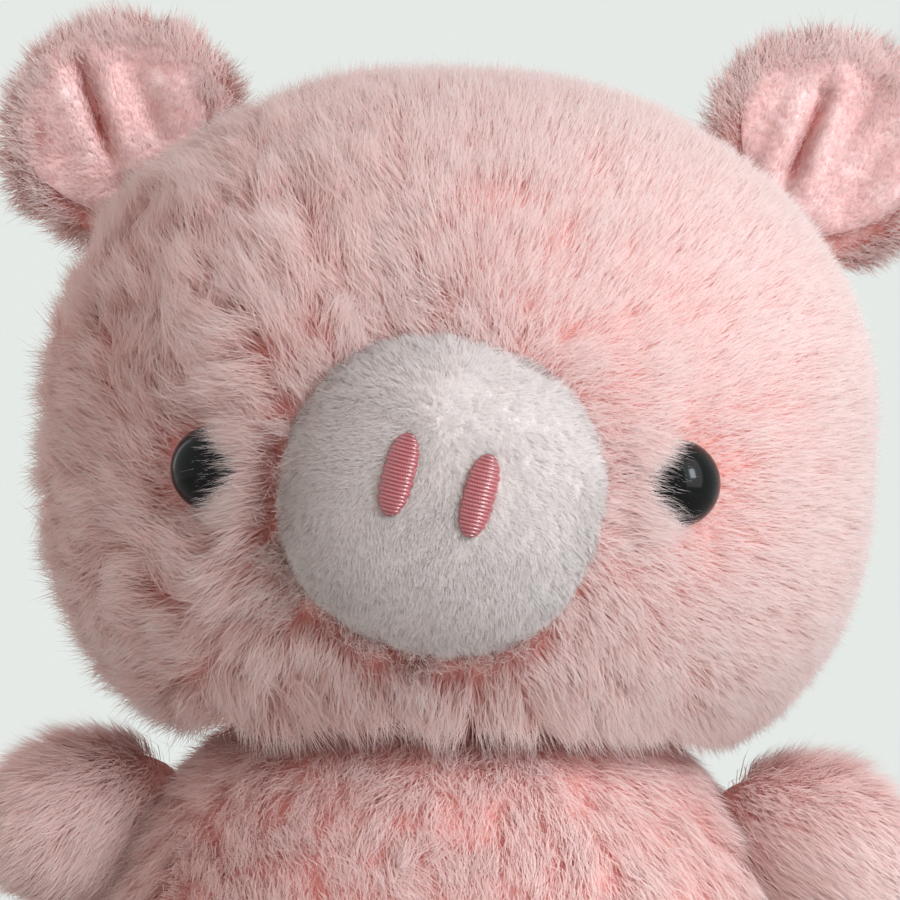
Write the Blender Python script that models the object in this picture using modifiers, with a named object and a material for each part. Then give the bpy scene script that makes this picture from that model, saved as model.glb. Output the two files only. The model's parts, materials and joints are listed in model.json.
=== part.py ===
"""A sitting plush pig, about 23 cm tall, as the separate pieces that it is sewn and assembled from.

Long-pile plush skins are filled with fibre, with a bag of pellets in the seat. The ears are lined, the snout is
a filled velour dome with two embroidered nostrils, and the eyes are plastic domes locked by washers inside.

Metres, +Z up. The pig faces -Y and its left side is at +X. The origin is the middle of the seat.
Sizes are taken over the pile, so the plush wall holds the backing cloth and the pile that lies on it.
"""

import math
from dataclasses import dataclass

import bmesh
import bpy
from mathutils import Matrix, Vector
from mathutils.bvhtree import BVHTree

# Cloth and clearances
PLUSH_WALL = 0.006
VELOUR_WALL = 0.0015
FIT_GAP = 0.0004
RELIEF_GAP = 0.0009
SEAM_THREAD = 0.001

# Torso
TORSO_HALF_WIDTH = 0.061
TORSO_HALF_DEPTH = 0.0585
TORSO_WAIST_HEIGHT = 0.0585
TORSO_DOME_HEIGHT = 0.0616
SEAT_PRESS = 0.014
SEAT_EDGE = 0.002
SEAT_CUT = 0.0005
PELLET_HALF_WIDTH = 0.026
PELLET_HALF_HEIGHT = 0.009

# Neck
NECK_SINK = 0.0224
NECK_OPENING = 0.022

# Head
HEAD_HALF_WIDTH = 0.0725
HEAD_HALF_DEPTH = 0.056
HEAD_HALF_HEIGHT = 0.0612

# Snout
SNOUT_HALF_WIDTH = 0.0254
SNOUT_HALF_HEIGHT = 0.0249
SNOUT_HALF_DEPTH = 0.017
SNOUT_PROUD = 0.0115
SNOUT_BURY = 0.012
SNOUT_DROP = 0.0121
SNOUT_ROLL = math.radians(13)
NOSTRIL_HALF_WIDTH = 0.0025
NOSTRIL_HALF_HEIGHT = 0.0067
NOSTRIL_HALF_THICKNESS = 0.0015
NOSTRIL_SPREAD = 0.0064
NOSTRIL_RISE = 0.0016

# Eyes
EYE_RADIUS = 0.0070
EYE_DOME = 0.0058
EYE_RIM = 0.0012
EYE_SPREAD = 0.0372
EYE_DROP = 0.0090
EYE_SINK = 0.0035
SHANK_RADIUS = 0.0022
SHANK_LENGTH = 0.010
WASHER_RADIUS = 0.0076
WASHER_THICKNESS = 0.0014

# Ears
EAR_HALF_WIDTH = 0.0224
EAR_HALF_HEIGHT = 0.0221
EAR_HALF_THICKNESS = 0.0048
EAR_CUP = 0.0045
EAR_PLACE = math.radians(33)
EAR_SETBACK = 0.016
EAR_LEAN = math.radians(27)
EAR_ROOT = 0.0082
EAR_SEAT_RADIUS = 0.0045
EAR_SEAT_HALF_LENGTH = 0.0115
EAR_FOLD = math.radians(20)
LINING_MARGIN = 0.0045
LINING_RAISE = 0.0032
LINING_HALF_THICKNESS = 0.0019
LINING_FORWARD = 0.0032

# Arms and legs
LIMB_MOUTH = 0.005
ARM_RADIUS = 0.0146
ARM_HALF_LENGTH = 0.0200
ARM_ROOT = 0.0110
ARM_SEAT_RADIUS = 0.0122
SHOULDER_DROP = 0.0080
SHOULDER_ADVANCE = 0.001
SHOULDER_LEAN = math.radians(21.6)
ARM_DROOP = math.radians(14)
ARM_FORWARD = math.radians(18)
ARM_SWING_FORWARD = math.radians(25)
ARM_SWING_BACK = math.radians(15)
LEG_RADIUS = 0.0160
LEG_HALF_LENGTH = 0.0255
LEG_ROOT = 0.0115
LEG_SEAT_RADIUS = 0.0125
HIP_SPREAD = 0.0275
LEG_SPLAY = math.radians(17)
LEG_LIFT = math.radians(25)
LEG_DROP = math.radians(15)
FOOT_CLEARANCE = 0.0005

# Tail
TAIL_RADIUS = 0.0026
TAIL_CURL_RADIUS = 0.0060
TAIL_LENGTH = 0.019
TAIL_HEIGHT = 0.036
TAIL_TURNS = 1.25

# Shapes: powers of the rounded forms, where 2 is an ellipsoid, and shares of their sizes
TORSO_POWER = 2.05
HEAD_PLAN_POWER = 2.15
HEAD_TOP_POWER = 2.1
HEAD_JOWL_POWER = 3.0
SNOUT_POWER = 2.25
LIMB_POWER = 2.35
PELLET_POWER = 2.4
HEAD_BLEND_SHARE = 0.35
LIMB_SWELL_SHARE = 0.10
EAR_PINCH_SHARE = 0.28
TAIL_UNCURLED_SHARE = 0.4

# How finely the forms are drawn: cells along each edge of a cage's cube, and sides of a round
CELLS = {"torso": 4, "head": 5, "snout": 3, "limb": 2, "ear": 3, "nostril": 2}
ROUND_STEPS = 24
SEAT_STEPS = 16
DOME_STEPS = 5
NECK_STEPS = 40
THREAD_STEPS = 6
TAIL_POINTS = 19

# Places that follow from the sizes above
NECK_PIVOT = Vector((0, 0, TORSO_WAIST_HEIGHT))
NECK_LINE = TORSO_WAIST_HEIGHT + TORSO_DOME_HEIGHT - NECK_SINK
DOME_RADIUS = max(TORSO_DOME_HEIGHT, TORSO_HALF_WIDTH, TORSO_HALF_DEPTH)
THREAD_RADIUS = DOME_RADIUS + FIT_GAP + SEAM_THREAD / 2
HEAD_CENTRE = Vector((0, 0, NECK_LINE + HEAD_HALF_HEIGHT))
FACE = HEAD_CENTRE - Vector((0, HEAD_HALF_DEPTH, 0))
SNOUT_CENTRE = FACE + Vector((0, SNOUT_HALF_DEPTH - SNOUT_PROUD, -SNOUT_DROP))
FILLING_INSET = PLUSH_WALL + FIT_GAP
OVERRUN = HEAD_HALF_WIDTH / 2
FRONT = Vector((0, -1, 0))
UP = Vector((0, 0, 1))
SIDES = {"left": 1, "right": -1}


@dataclass
class Hinge:
    """Where a soft piece is sewn on: its pivot and hinge axis, the way it points, and the ends of its swing."""

    name: str
    pivot: Vector
    axis: Vector
    outward: Vector
    swings: tuple
    seat_radius: float
    seat_half_length: float

    def frame(self):
        """The piece's own frame: +Z points outward, and +X lies as near the hinge axis as it can."""
        return frame_of(self.pivot, self.outward, self.axis)

    def seat_frame(self):
        """The round seat's frame: +X lies on the hinge axis."""
        across = self.axis.cross(self.outward)
        return frame_of(self.pivot, self.axis.cross(across), self.axis)

    def turned(self, angle):
        """The motion that carries the piece from rest to an angle."""
        to_pivot = Matrix.Translation(self.pivot)
        return to_pivot @ Matrix.Rotation(angle, 4, self.axis) @ to_pivot.inverted()


def frame_of(point, z_axis, near_x):
    """A frame at a point with a given +Z, and +X as near as it can be to near_x."""
    z = z_axis.normalized()
    y = z.cross(near_x).normalized()
    turn = Matrix((y.cross(z), y, z)).transposed()
    return Matrix.Translation(point) @ turn.to_4x4()


# Scene, materials and objects


def clear_scene():
    for obj in list(bpy.data.objects):
        bpy.data.objects.remove(obj, do_unlink=True)


def new_collection(name):
    collection = bpy.data.collections.new(name)
    bpy.context.scene.collection.children.link(collection)
    return collection


def new_material(name, colour, roughness, metallic=0.0):
    material = bpy.data.materials.new(name)
    material.use_nodes = True
    shader = material.node_tree.nodes["Principled BSDF"]
    shader.inputs["Base Color"].default_value = (*colour, 1)
    shader.inputs["Roughness"].default_value = roughness
    shader.inputs["Metallic"].default_value = metallic
    material.diffuse_color = (*colour, 1)
    return material


def add_piece(name, mesh, material, frame=None):
    """A piece of the pig, or a cutter if it has no material."""
    obj = bpy.data.objects.new(name, mesh)
    obj.matrix_world = frame or Matrix()
    if material:
        mesh.materials.append(material)
        mesh.shade_smooth()
        bpy.data.collections["plush_pig"].objects.link(obj)
    else:
        bpy.data.collections["cutters"].objects.link(obj)
        obj.hide_render = True
        obj.display_type = "WIRE"
    return obj


def add_body(name, pivot, parent=None):
    """An empty on a joint. The pieces that move there are its children."""
    empty = bpy.data.objects.new(name, None)
    bpy.data.collections["plush_pig"].objects.link(empty)
    empty.matrix_world = Matrix.Translation(pivot)
    if parent:
        carry(parent, empty)
    return empty


def carry(body, *objects):
    """Makes pieces children of a body's empty without moving them."""
    bpy.context.view_layer.update()
    for obj in objects:
        obj.parent = body
        obj.matrix_parent_inverse = body.matrix_world.inverted()


# Tools that make shapes


def unit_cage(cells):
    """A cube with its faces cut into cells, blown up to a unit sphere of evenly spread points."""
    cage = bmesh.new()
    bmesh.ops.create_cube(cage, size=2)
    if cells > 1:
        bmesh.ops.subdivide_edges(cage, edges=cage.edges[:], cuts=cells - 1, use_grid_fill=True)
    for vert in cage.verts:
        vert.co = Vector([math.tan(c * math.pi / 4) for c in vert.co]).normalized()
    return cage


def cage_growth(cells):
    """How much larger a cage is drawn than its form: smoothing pulls a surface in by a third of the sagitta
    between neighbouring points, along each of its two directions."""
    sagitta = 1 - math.cos(math.pi / 2 / cells)
    return 1 / (1 - 2 * sagitta / 3)


def rounded(unit, half, power):
    """The point of a rounded box in a unit direction. Power 2 is an ellipsoid, and more is squarer."""
    norm = sum(abs(c) ** power for c in unit) ** (-1 / power)
    return Vector([c * h * norm for c, h in zip(unit, half)])


def soft_form(name, point_of, growth, cells, levels=0, material=None, frame=None):
    """A closed form. point_of(unit, growth, larger) places each unit direction on the form grown by growth.
    One with no levels is left faceted, in triangles that are the same ones whatever the growth."""
    cage = unit_cage(cells)
    larger = cage_growth(cells) if levels else 1
    for vert in cage.verts:
        vert.co = point_of(vert.co.copy(), growth, larger)
    if not levels:
        bmesh.ops.triangulate(cage, faces=cage.faces[:], quad_method="FIXED")
    mesh = bpy.data.meshes.new(name)
    cage.to_mesh(mesh)
    cage.free()
    obj = add_piece(name, mesh, material, frame)
    if levels:
        smooth = obj.modifiers.new("Smooth", "SUBSURF")
        smooth.levels = levels
        smooth.render_levels = levels
    return obj


def turned_piece(name, profile, closed=False, material=None, frame=None):
    """A profile of (radius, height) points, which runs down its outer side, turned about Z."""
    mesh = bpy.data.meshes.new(name)
    edges = [(i, i + 1) for i in range(len(profile) - 1)]
    if closed:
        edges.append((len(profile) - 1, 0))
    mesh.from_pydata([(radius, 0, height) for radius, height in profile], edges, [])
    obj = add_piece(name, mesh, material, frame)
    screw = obj.modifiers.new("Turn", "SCREW")
    screw.steps = ROUND_STEPS
    screw.render_steps = ROUND_STEPS
    screw.use_merge_vertices = True
    screw.merge_threshold = FIT_GAP / 10
    return obj


def roll(name, radius, half_length, frame, steps=SEAT_STEPS, growth=0):
    """A ball, or with a greater half length a roll along +X, that cuts a round seat. A growth makes it a
    socket: the middles of its flat faces then keep that far from the true ball."""
    if growth:
        radius, half_length = ((size + growth) / math.cos(math.pi / steps) ** 2 for size in (radius, half_length))
    mesh = bpy.data.meshes.new(name)
    shape = bmesh.new()
    bmesh.ops.create_uvsphere(shape, u_segments=steps, v_segments=steps // 2, radius=1)
    along_x = Matrix.Rotation(math.pi / 2, 4, "Y")
    bmesh.ops.transform(shape, matrix=along_x, verts=shape.verts[:])
    bmesh.ops.scale(shape, vec=(half_length, radius, radius), verts=shape.verts[:])
    shape.to_mesh(mesh)
    shape.free()
    return add_piece(name, mesh, None, frame)


def drill(name, radius, depth, frame):
    """A round cutter that starts at its frame and runs up its +Z."""
    mesh = bpy.data.meshes.new(name)
    shape = bmesh.new()
    bmesh.ops.create_cone(
        shape, cap_ends=True, segments=ROUND_STEPS, radius1=radius, radius2=radius, depth=depth
    )
    bmesh.ops.translate(shape, vec=(0, 0, depth / 2), verts=shape.verts[:])
    shape.to_mesh(mesh)
    shape.free()
    return add_piece(name, mesh, None, frame)


def block(name, size, frame):
    """A square cutter that stands on its frame."""
    mesh = bpy.data.meshes.new(name)
    shape = bmesh.new()
    bmesh.ops.create_cube(shape, size=1)
    bmesh.ops.scale(shape, vec=size, verts=shape.verts[:])
    bmesh.ops.translate(shape, vec=(0, 0, size[2] / 2), verts=shape.verts[:])
    shape.to_mesh(mesh)
    shape.free()
    return add_piece(name, mesh, None, frame)


def cut(obj, *cutters, solver="EXACT"):
    """Takes each cutter out of the object."""
    for cutter in cutters:
        boolean = obj.modifiers.new(f"Cut {cutter.name}", "BOOLEAN")
        boolean.operation = "DIFFERENCE"
        boolean.solver = solver
        boolean.object = cutter


def surface_at(form, start, direction):
    """Where a straight line first meets a form, with the form's outward normal there."""
    bpy.context.view_layer.update()
    tree = BVHTree.FromObject(form, bpy.context.evaluated_depsgraph_get())
    to_form = form.matrix_world.inverted()
    point, normal, _, _ = tree.ray_cast(to_form @ start, to_form.to_3x3() @ direction)
    return form.matrix_world @ point, (form.matrix_world.to_3x3() @ normal).normalized()


def on_side(vector, side):
    """A vector of the left side, mirrored for the right."""
    return Vector((side * vector.x, vector.y, vector.z))


# Shapes of the forms


def settled(height, floor):
    """A height above the seat once the filled seat is pressed down: it eases onto the floor, and its middle
    still bulges by the seat's cut."""

    def eased(rise):
        return (rise + math.sqrt(rise**2 + 4 * SEAT_EDGE**2)) / 2

    return floor + eased(height - floor) - eased(-SEAT_PRESS) - SEAT_CUT


def torso_point(unit, growth, larger):
    """Round, with a dome that the head sits on, and a seat pressed flat."""
    up_or_down = TORSO_DOME_HEIGHT if unit.z > 0 else TORSO_WAIST_HEIGHT + SEAT_PRESS
    half = [(size + growth) * larger for size in (TORSO_HALF_WIDTH, TORSO_HALF_DEPTH, up_or_down)]
    point = rounded(unit, half, TORSO_POWER)
    point.z = settled(point.z + TORSO_WAIST_HEIGHT, -growth)
    return point


def head_point(unit, growth, larger):
    """Round from above, a little square at the jowls and rounder over the top."""
    blend = max(-1, min(1, unit.z / HEAD_BLEND_SHARE))
    middle = (HEAD_TOP_POWER + HEAD_JOWL_POWER) / 2
    power = middle + (HEAD_TOP_POWER - middle) * math.sin(blend * math.pi / 2)
    across = (abs(unit.x) ** HEAD_PLAN_POWER + abs(unit.y) ** HEAD_PLAN_POWER) ** (1 / HEAD_PLAN_POWER)
    norm = (across**power + abs(unit.z) ** power) ** (-1 / power)
    half = (HEAD_HALF_WIDTH, HEAD_HALF_DEPTH, HEAD_HALF_HEIGHT)
    return Vector([c * (size + growth) * norm * larger for c, size in zip(unit, half)])


def simple_shape(half_sizes, power):
    def point_of(unit, growth, larger):
        return rounded(unit, [(size + growth) * larger for size in half_sizes], power)

    return point_of


def limb_shape(radius, half_length, root):
    """A limb that swells towards its round tip, and whose root lies behind its hinge."""

    def point_of(unit, growth, larger):
        half = [(size + growth) * larger for size in (radius, radius, half_length)]
        point = rounded(unit, half, LIMB_POWER)
        swell = 1 + LIMB_SWELL_SHARE * unit.z
        return Vector((point.x * swell, point.y * swell, point.z + half_length - root))

    return point_of


def ear_shape(margin, half_thickness, forward, rise):
    """A flat round ear less a margin, pinched in at its base and cupped towards the face, which is at -Y."""

    def point_of(unit, growth, larger):
        sizes = (EAR_HALF_WIDTH - margin, half_thickness, EAR_HALF_HEIGHT - margin)
        point = rounded(unit, [(size + growth) * larger for size in sizes], 2)
        height_share = point.z / EAR_HALF_HEIGHT
        point.x *= 1 + EAR_PINCH_SHARE * min(0, height_share)
        point.y -= forward + EAR_CUP * ((point.x / EAR_HALF_WIDTH) ** 2 + max(0, height_share) ** 2)
        point.z += EAR_HALF_HEIGHT - EAR_ROOT + rise
        return point

    return point_of


# Sewing limbs and ears on


def seat_pieces(hinge, pieces, ground, ground_point, ground_cells):
    """Cuts a limb's pieces by the larger form that carries them, at both ends of the limb's swing. Only the
    limb's round seat stays inside that form. Returns the socket that the seat turns in."""
    seat = roll(f"{hinge.name}_seat", hinge.seat_radius, hinge.seat_half_length, hinge.seat_frame())
    for number, angle in enumerate(hinge.swings):
        relief = soft_form(f"{hinge.name}_relief_{number}", ground_point, RELIEF_GAP, ground_cells, 1)
        relief.matrix_world = hinge.turned(-angle) @ ground.matrix_world
        cut(relief, seat, solver="MANIFOLD")
        for piece in pieces:
            cut(piece, relief, solver="MANIFOLD")
    return roll(
        f"{hinge.name}_socket",
        hinge.seat_radius,
        hinge.seat_half_length,
        hinge.seat_frame(),
        growth=FIT_GAP,
    )


def filled_skin(name, outside, inside, cells, frame, materials):
    """A plush skin with its filling, both closed. The skin is hollow where the filling is."""
    skin = soft_form(f"{name}_skin", outside, 0, cells, 1, materials["plush"], frame)
    hollow = soft_form(f"{name}_hollow", inside, -PLUSH_WALL, cells, 0, None, frame)
    filling = soft_form(f"{name}_filling", inside, -FILLING_INSET, cells, 0, materials["fibre"], frame)
    cut(skin, hollow)
    return skin, filling, hollow


def make_limb(hinge, radius, half_length, root, materials):
    """A plush limb. Its skin is open at the root, where the filling goes in before it is sewn on."""
    outside = limb_shape(radius, half_length, root)
    inside = limb_shape(radius, half_length - LIMB_MOUTH / 2, root - LIMB_MOUTH)
    skin, filling, _ = filled_skin(hinge.name, outside, inside, CELLS["limb"], hinge.frame(), materials)
    mouth = hinge.frame() @ Matrix.Translation((0, 0, PLUSH_WALL)) @ Matrix.Rotation(math.pi, 4, "X")
    cut(skin, drill(f"{hinge.name}_opening", (radius - PLUSH_WALL) / 2, OVERRUN, mouth))
    return skin, filling


# Sub-assemblies


def make_torso(materials):
    skin, filling, _ = filled_skin("torso", torso_point, torso_point, CELLS["torso"], None, materials)
    neck_opening = drill("torso_opening", NECK_OPENING, OVERRUN, Matrix.Translation((0, 0, NECK_LINE)))
    below_seat = Matrix.Translation((0, 0, -OVERRUN))
    wide = 3 * TORSO_HALF_WIDTH
    cut(skin, neck_opening, block("seat_plane", (wide, wide, OVERRUN), below_seat))

    sizes = (PELLET_HALF_WIDTH, PELLET_HALF_WIDTH, PELLET_HALF_HEIGHT)
    bag_shape = simple_shape(sizes, PELLET_POWER)
    bag_frame = Matrix.Translation((0, 0, FILLING_INSET - FIT_GAP + PELLET_HALF_HEIGHT))
    bag = soft_form("pellet_bag", bag_shape, 0, CELLS["limb"], 0, materials["bag"], bag_frame)
    cut(filling, soft_form("pellet_room", bag_shape, FIT_GAP, CELLS["limb"], 0, None, bag_frame))
    return skin, filling, bag


def make_neck_thread(materials):
    """A ring of sewing thread between the torso's dome and the head's cup, just outside their openings."""
    ring_radius = NECK_OPENING + SEAM_THREAD
    rise = math.sqrt(THREAD_RADIUS**2 - ring_radius**2)
    bpy.ops.mesh.primitive_torus_add(
        major_radius=ring_radius,
        minor_radius=SEAM_THREAD / 2,
        major_segments=NECK_STEPS,
        minor_segments=THREAD_STEPS,
    )
    made = bpy.context.object
    ring = add_piece(
        "neck_seam_thread", made.data, materials["thread"], Matrix.Translation(NECK_PIVOT + rise * UP)
    )
    bpy.data.objects.remove(made)
    return ring


def make_head(materials):
    frame = Matrix.Translation(HEAD_CENTRE)
    skin, filling, hollow = filled_skin("head", head_point, head_point, CELLS["head"], frame, materials)
    neck = Matrix.Translation(NECK_PIVOT)
    outside = THREAD_RADIUS + SEAM_THREAD / 2
    for piece, wall in ((skin, 0), (hollow, PLUSH_WALL), (filling, FILLING_INSET)):
        radius = outside + wall
        cut(piece, roll(f"{piece.name}_cup", radius, radius, neck, NECK_STEPS, FIT_GAP))
    cut(skin, drill("head_opening", NECK_OPENING, OVERRUN, Matrix.Translation((0, 0, NECK_LINE))))
    return skin, filling


def make_snout(head_skin, head_filling, materials):
    """A velour cover over its own filling, rolled a little, and set into the face up to a flat back."""
    frame = Matrix.Translation(SNOUT_CENTRE) @ Matrix.Rotation(SNOUT_ROLL, 4, "Y")
    shape = simple_shape((SNOUT_HALF_WIDTH, SNOUT_HALF_DEPTH, SNOUT_HALF_HEIGHT), SNOUT_POWER)
    cover = soft_form("snout_cover", shape, 0, CELLS["snout"], 1, materials["velour"], frame)
    hollow = soft_form("snout_hollow", shape, -VELOUR_WALL, CELLS["snout"], 0, None, frame)
    inset = -VELOUR_WALL - FIT_GAP
    filling = soft_form("snout_filling", shape, inset, CELLS["snout"], 0, materials["fibre"], frame)
    room = soft_form("snout_room", shape, FIT_GAP, CELLS["snout"], 1, None, frame)

    wide = 4 * SNOUT_HALF_WIDTH
    for piece, behind in ((cover, 0), (filling, 0), (room, FIT_GAP)):
        back = FACE + Vector((0, SNOUT_BURY + behind, 0))
        plane = block(f"{piece.name}_back", (wide, wide, OVERRUN), frame_of(back, -FRONT, UP))
        cut(piece, plane)
    cut(cover, hollow)
    cut(head_skin, room)
    cut(head_filling, room)

    ground = soft_form("nostril_ground", shape, FIT_GAP, CELLS["snout"], 1, None, frame)
    nostrils = []
    for name, side in SIDES.items():
        middle = frame @ Vector((side * NOSTRIL_SPREAD, 0, NOSTRIL_RISE))
        point, normal = surface_at(cover, middle + OVERRUN * FRONT, -FRONT)
        up = frame.to_3x3() @ UP
        pad = simple_shape((NOSTRIL_HALF_HEIGHT, NOSTRIL_HALF_WIDTH, NOSTRIL_HALF_THICKNESS), 2)
        nostril = soft_form(
            f"nostril_{name}", pad, 0, CELLS["nostril"], 1, materials["satin"], frame_of(point, normal, up)
        )
        cut(nostril, ground)
        nostrils.append(nostril)
    return [cover, filling, *nostrils]


def eye_profile():
    """A shallow dome with a short straight rim, a flat back and a shank."""
    ball_radius = (EYE_RADIUS**2 + EYE_DOME**2) / (2 * EYE_DOME)
    widest = math.asin(min(1, EYE_RADIUS / ball_radius))
    if EYE_DOME > ball_radius:
        widest = math.pi - widest
    angles = [widest * step / DOME_STEPS for step in range(DOME_STEPS + 1)]
    top = EYE_RIM + EYE_DOME - ball_radius
    dome = [(ball_radius * math.sin(a), top + ball_radius * math.cos(a)) for a in angles]
    shank_end = EYE_RIM - SHANK_LENGTH
    return [*dome, (EYE_RADIUS, 0), (SHANK_RADIUS, 0), (SHANK_RADIUS, shank_end), (0, shank_end)]


def washer_profile():
    """A flat ring behind the skin, as the profile of its wall."""
    top = -PLUSH_WALL - FIT_GAP
    bottom = top - WASHER_THICKNESS
    hole = SHANK_RADIUS + FIT_GAP
    return [(WASHER_RADIUS, top), (WASHER_RADIUS, bottom), (hole, bottom), (hole, top)]


def eye_room_profile():
    """The pocket that the eye sits in, its shank's hole, and the room inside for the washer."""
    pocket = EYE_RADIUS + FIT_GAP
    hole = SHANK_RADIUS + FIT_GAP
    washer = WASHER_RADIUS + FIT_GAP
    pocket_floor = -EYE_SINK - FIT_GAP
    room_floor = -SHANK_LENGTH - EYE_SINK
    return [
        (0, OVERRUN),
        (pocket, OVERRUN),
        (pocket, pocket_floor),
        (hole, pocket_floor),
        (hole, -PLUSH_WALL),
        (washer, -PLUSH_WALL),
        (washer, room_floor),
        (0, room_floor),
    ]


def make_eyes(head_skin, head_filling, materials):
    """Each eye sits in a hollow of the plush. Its shank goes through the skin into a washer inside."""
    made = []
    start = HEAD_CENTRE + Vector((EYE_SPREAD, -2 * HEAD_HALF_DEPTH, -EYE_DROP))
    point, normal = surface_at(head_skin, start, -FRONT)
    for name, side in SIDES.items():
        out = frame_of(on_side(point, side), on_side(normal, side), UP)
        seat = out @ Matrix.Translation((0, 0, -EYE_SINK))
        eye = turned_piece(f"eye_{name}", eye_profile(), material=materials["eye"], frame=seat)
        washer = turned_piece(f"eye_washer_{name}", washer_profile(), True, materials["washer"], out)
        room = turned_piece(f"eye_room_{name}", eye_room_profile(), frame=out)
        cut(head_skin, room)
        cut(head_filling, room)
        made += [eye, washer]
    return made


def make_ears(head_skin, materials):
    """Each ear has a plush back with a velour lining let into its front."""
    made = []
    lift = Vector((math.cos(EAR_PLACE), 0, math.sin(EAR_PLACE)))
    start = HEAD_CENTRE + Vector((0, EAR_SETBACK, 0)) + 2 * HEAD_HALF_WIDTH * lift
    pivot, _ = surface_at(head_skin, start, -lift)
    back_shape = ear_shape(0, EAR_HALF_THICKNESS, 0, 0)
    lining_shape = ear_shape(LINING_MARGIN, LINING_HALF_THICKNESS, LINING_FORWARD, LINING_RAISE)
    for name, side in SIDES.items():
        hinge = Hinge(
            name=f"ear_{name}",
            pivot=on_side(pivot, side),
            axis=Vector((math.cos(EAR_LEAN), 0, -side * math.sin(EAR_LEAN))),
            outward=Vector((side * math.sin(EAR_LEAN), 0, math.cos(EAR_LEAN))),
            swings=(-EAR_FOLD, EAR_FOLD),
            seat_radius=EAR_SEAT_RADIUS,
            seat_half_length=EAR_SEAT_HALF_LENGTH,
        )
        frame = hinge.frame()
        back = soft_form(f"ear_back_{name}", back_shape, 0, CELLS["ear"], 1, materials["plush"], frame)
        lining = soft_form(
            f"ear_lining_{name}", lining_shape, 0, CELLS["limb"], 1, materials["velour_pink"], frame
        )
        room = soft_form(f"ear_{name}_lining_room", lining_shape, FIT_GAP, CELLS["limb"], 1, None, frame)
        cut(back, room)
        cut(head_skin, seat_pieces(hinge, [back, lining], head_skin, head_point, CELLS["head"]))
        made.append((hinge, (back, lining)))
    return made


def make_arms(torso_skin, torso_filling, materials):
    """Short arms that droop outward and forward, and swing about their shoulder seams."""
    made = []
    start = Vector((2 * TORSO_HALF_WIDTH, -SHOULDER_ADVANCE, NECK_LINE - SHOULDER_DROP))
    pivot, _ = surface_at(torso_skin, start, Vector((-1, 0, 0)))
    level = math.cos(ARM_DROOP)
    outward = Vector((level * math.cos(ARM_FORWARD), -level * math.sin(ARM_FORWARD), -math.sin(ARM_DROOP)))
    for name, side in SIDES.items():
        hinge = Hinge(
            name=f"arm_{name}",
            pivot=on_side(pivot, side),
            axis=Vector((math.sin(SHOULDER_LEAN), 0, -side * math.cos(SHOULDER_LEAN))),
            outward=on_side(outward, side),
            swings=(-ARM_SWING_BACK, ARM_SWING_FORWARD),
            seat_radius=ARM_SEAT_RADIUS,
            seat_half_length=ARM_SEAT_RADIUS,
        )
        pieces = make_limb(hinge, ARM_RADIUS, ARM_HALF_LENGTH, ARM_ROOT, materials)
        sew_on(hinge, pieces, torso_skin, torso_filling)
        made.append((hinge, pieces))
    return made


def make_legs(torso_skin, torso_filling, materials):
    """Stubby legs that lie forward on the table and lift at their hips."""
    made = []
    height = LEG_RADIUS * (1 + LIMB_SWELL_SHARE) + FOOT_CLEARANCE
    start = Vector((HIP_SPREAD, -2 * TORSO_HALF_DEPTH, height))
    pivot, _ = surface_at(torso_skin, start, -FRONT)
    outward = Vector((math.sin(LEG_SPLAY), -math.cos(LEG_SPLAY), 0))
    for name, side in SIDES.items():
        hinge = Hinge(
            name=f"leg_{name}",
            pivot=on_side(pivot, side),
            axis=on_side(outward, side).cross(UP),
            outward=on_side(outward, side),
            swings=(-LEG_DROP, LEG_LIFT),
            seat_radius=LEG_SEAT_RADIUS,
            seat_half_length=LEG_SEAT_RADIUS,
        )
        pieces = make_limb(hinge, LEG_RADIUS, LEG_HALF_LENGTH, LEG_ROOT, materials)
        sew_on(hinge, pieces, torso_skin, torso_filling)
        made.append((hinge, pieces))
    return made


def sew_on(hinge, pieces, torso_skin, torso_filling):
    """Seats a limb on the torso and opens the torso's socket for it."""
    socket = seat_pieces(hinge, pieces, torso_skin, torso_point, CELLS["torso"])
    cut(torso_skin, socket)
    cut(torso_filling, socket)


def make_tail(torso_skin, materials):
    """A stuffed cloth cord, curled like a corkscrew, whose root sits in a small hollow of the back."""
    start = Vector((0, 2 * TORSO_HALF_DEPTH, TAIL_HEIGHT))
    pivot, _ = surface_at(torso_skin, start, FRONT)
    pivot -= FIT_GAP * FRONT
    curve = bpy.data.curves.new("tail", "CURVE")
    curve.dimensions = "3D"
    curve.bevel_depth = TAIL_RADIUS
    curve.bevel_resolution = 1
    curve.use_fill_caps = True
    curl = curve.splines.new("POLY")
    curl.points.add(TAIL_POINTS - 1)
    for number, point in enumerate(curl.points):
        share = number / (TAIL_POINTS - 1)
        angle = 2 * math.pi * TAIL_TURNS * share
        radius = TAIL_CURL_RADIUS * min(1, share / TAIL_UNCURLED_SHARE) ** 2
        point.co = (radius * math.sin(angle), radius * (1 - math.cos(angle)), TAIL_LENGTH * share, 1)
    curve.materials.append(materials["plush"])
    tail = bpy.data.objects.new("tail", curve)
    bpy.data.collections["plush_pig"].objects.link(tail)
    tail.matrix_world = frame_of(pivot, -FRONT, UP)
    frame = Matrix.Translation(pivot)
    cut(torso_skin, roll("tail_socket", TAIL_RADIUS, TAIL_RADIUS, frame, growth=FIT_GAP))
    return pivot, tail


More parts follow.
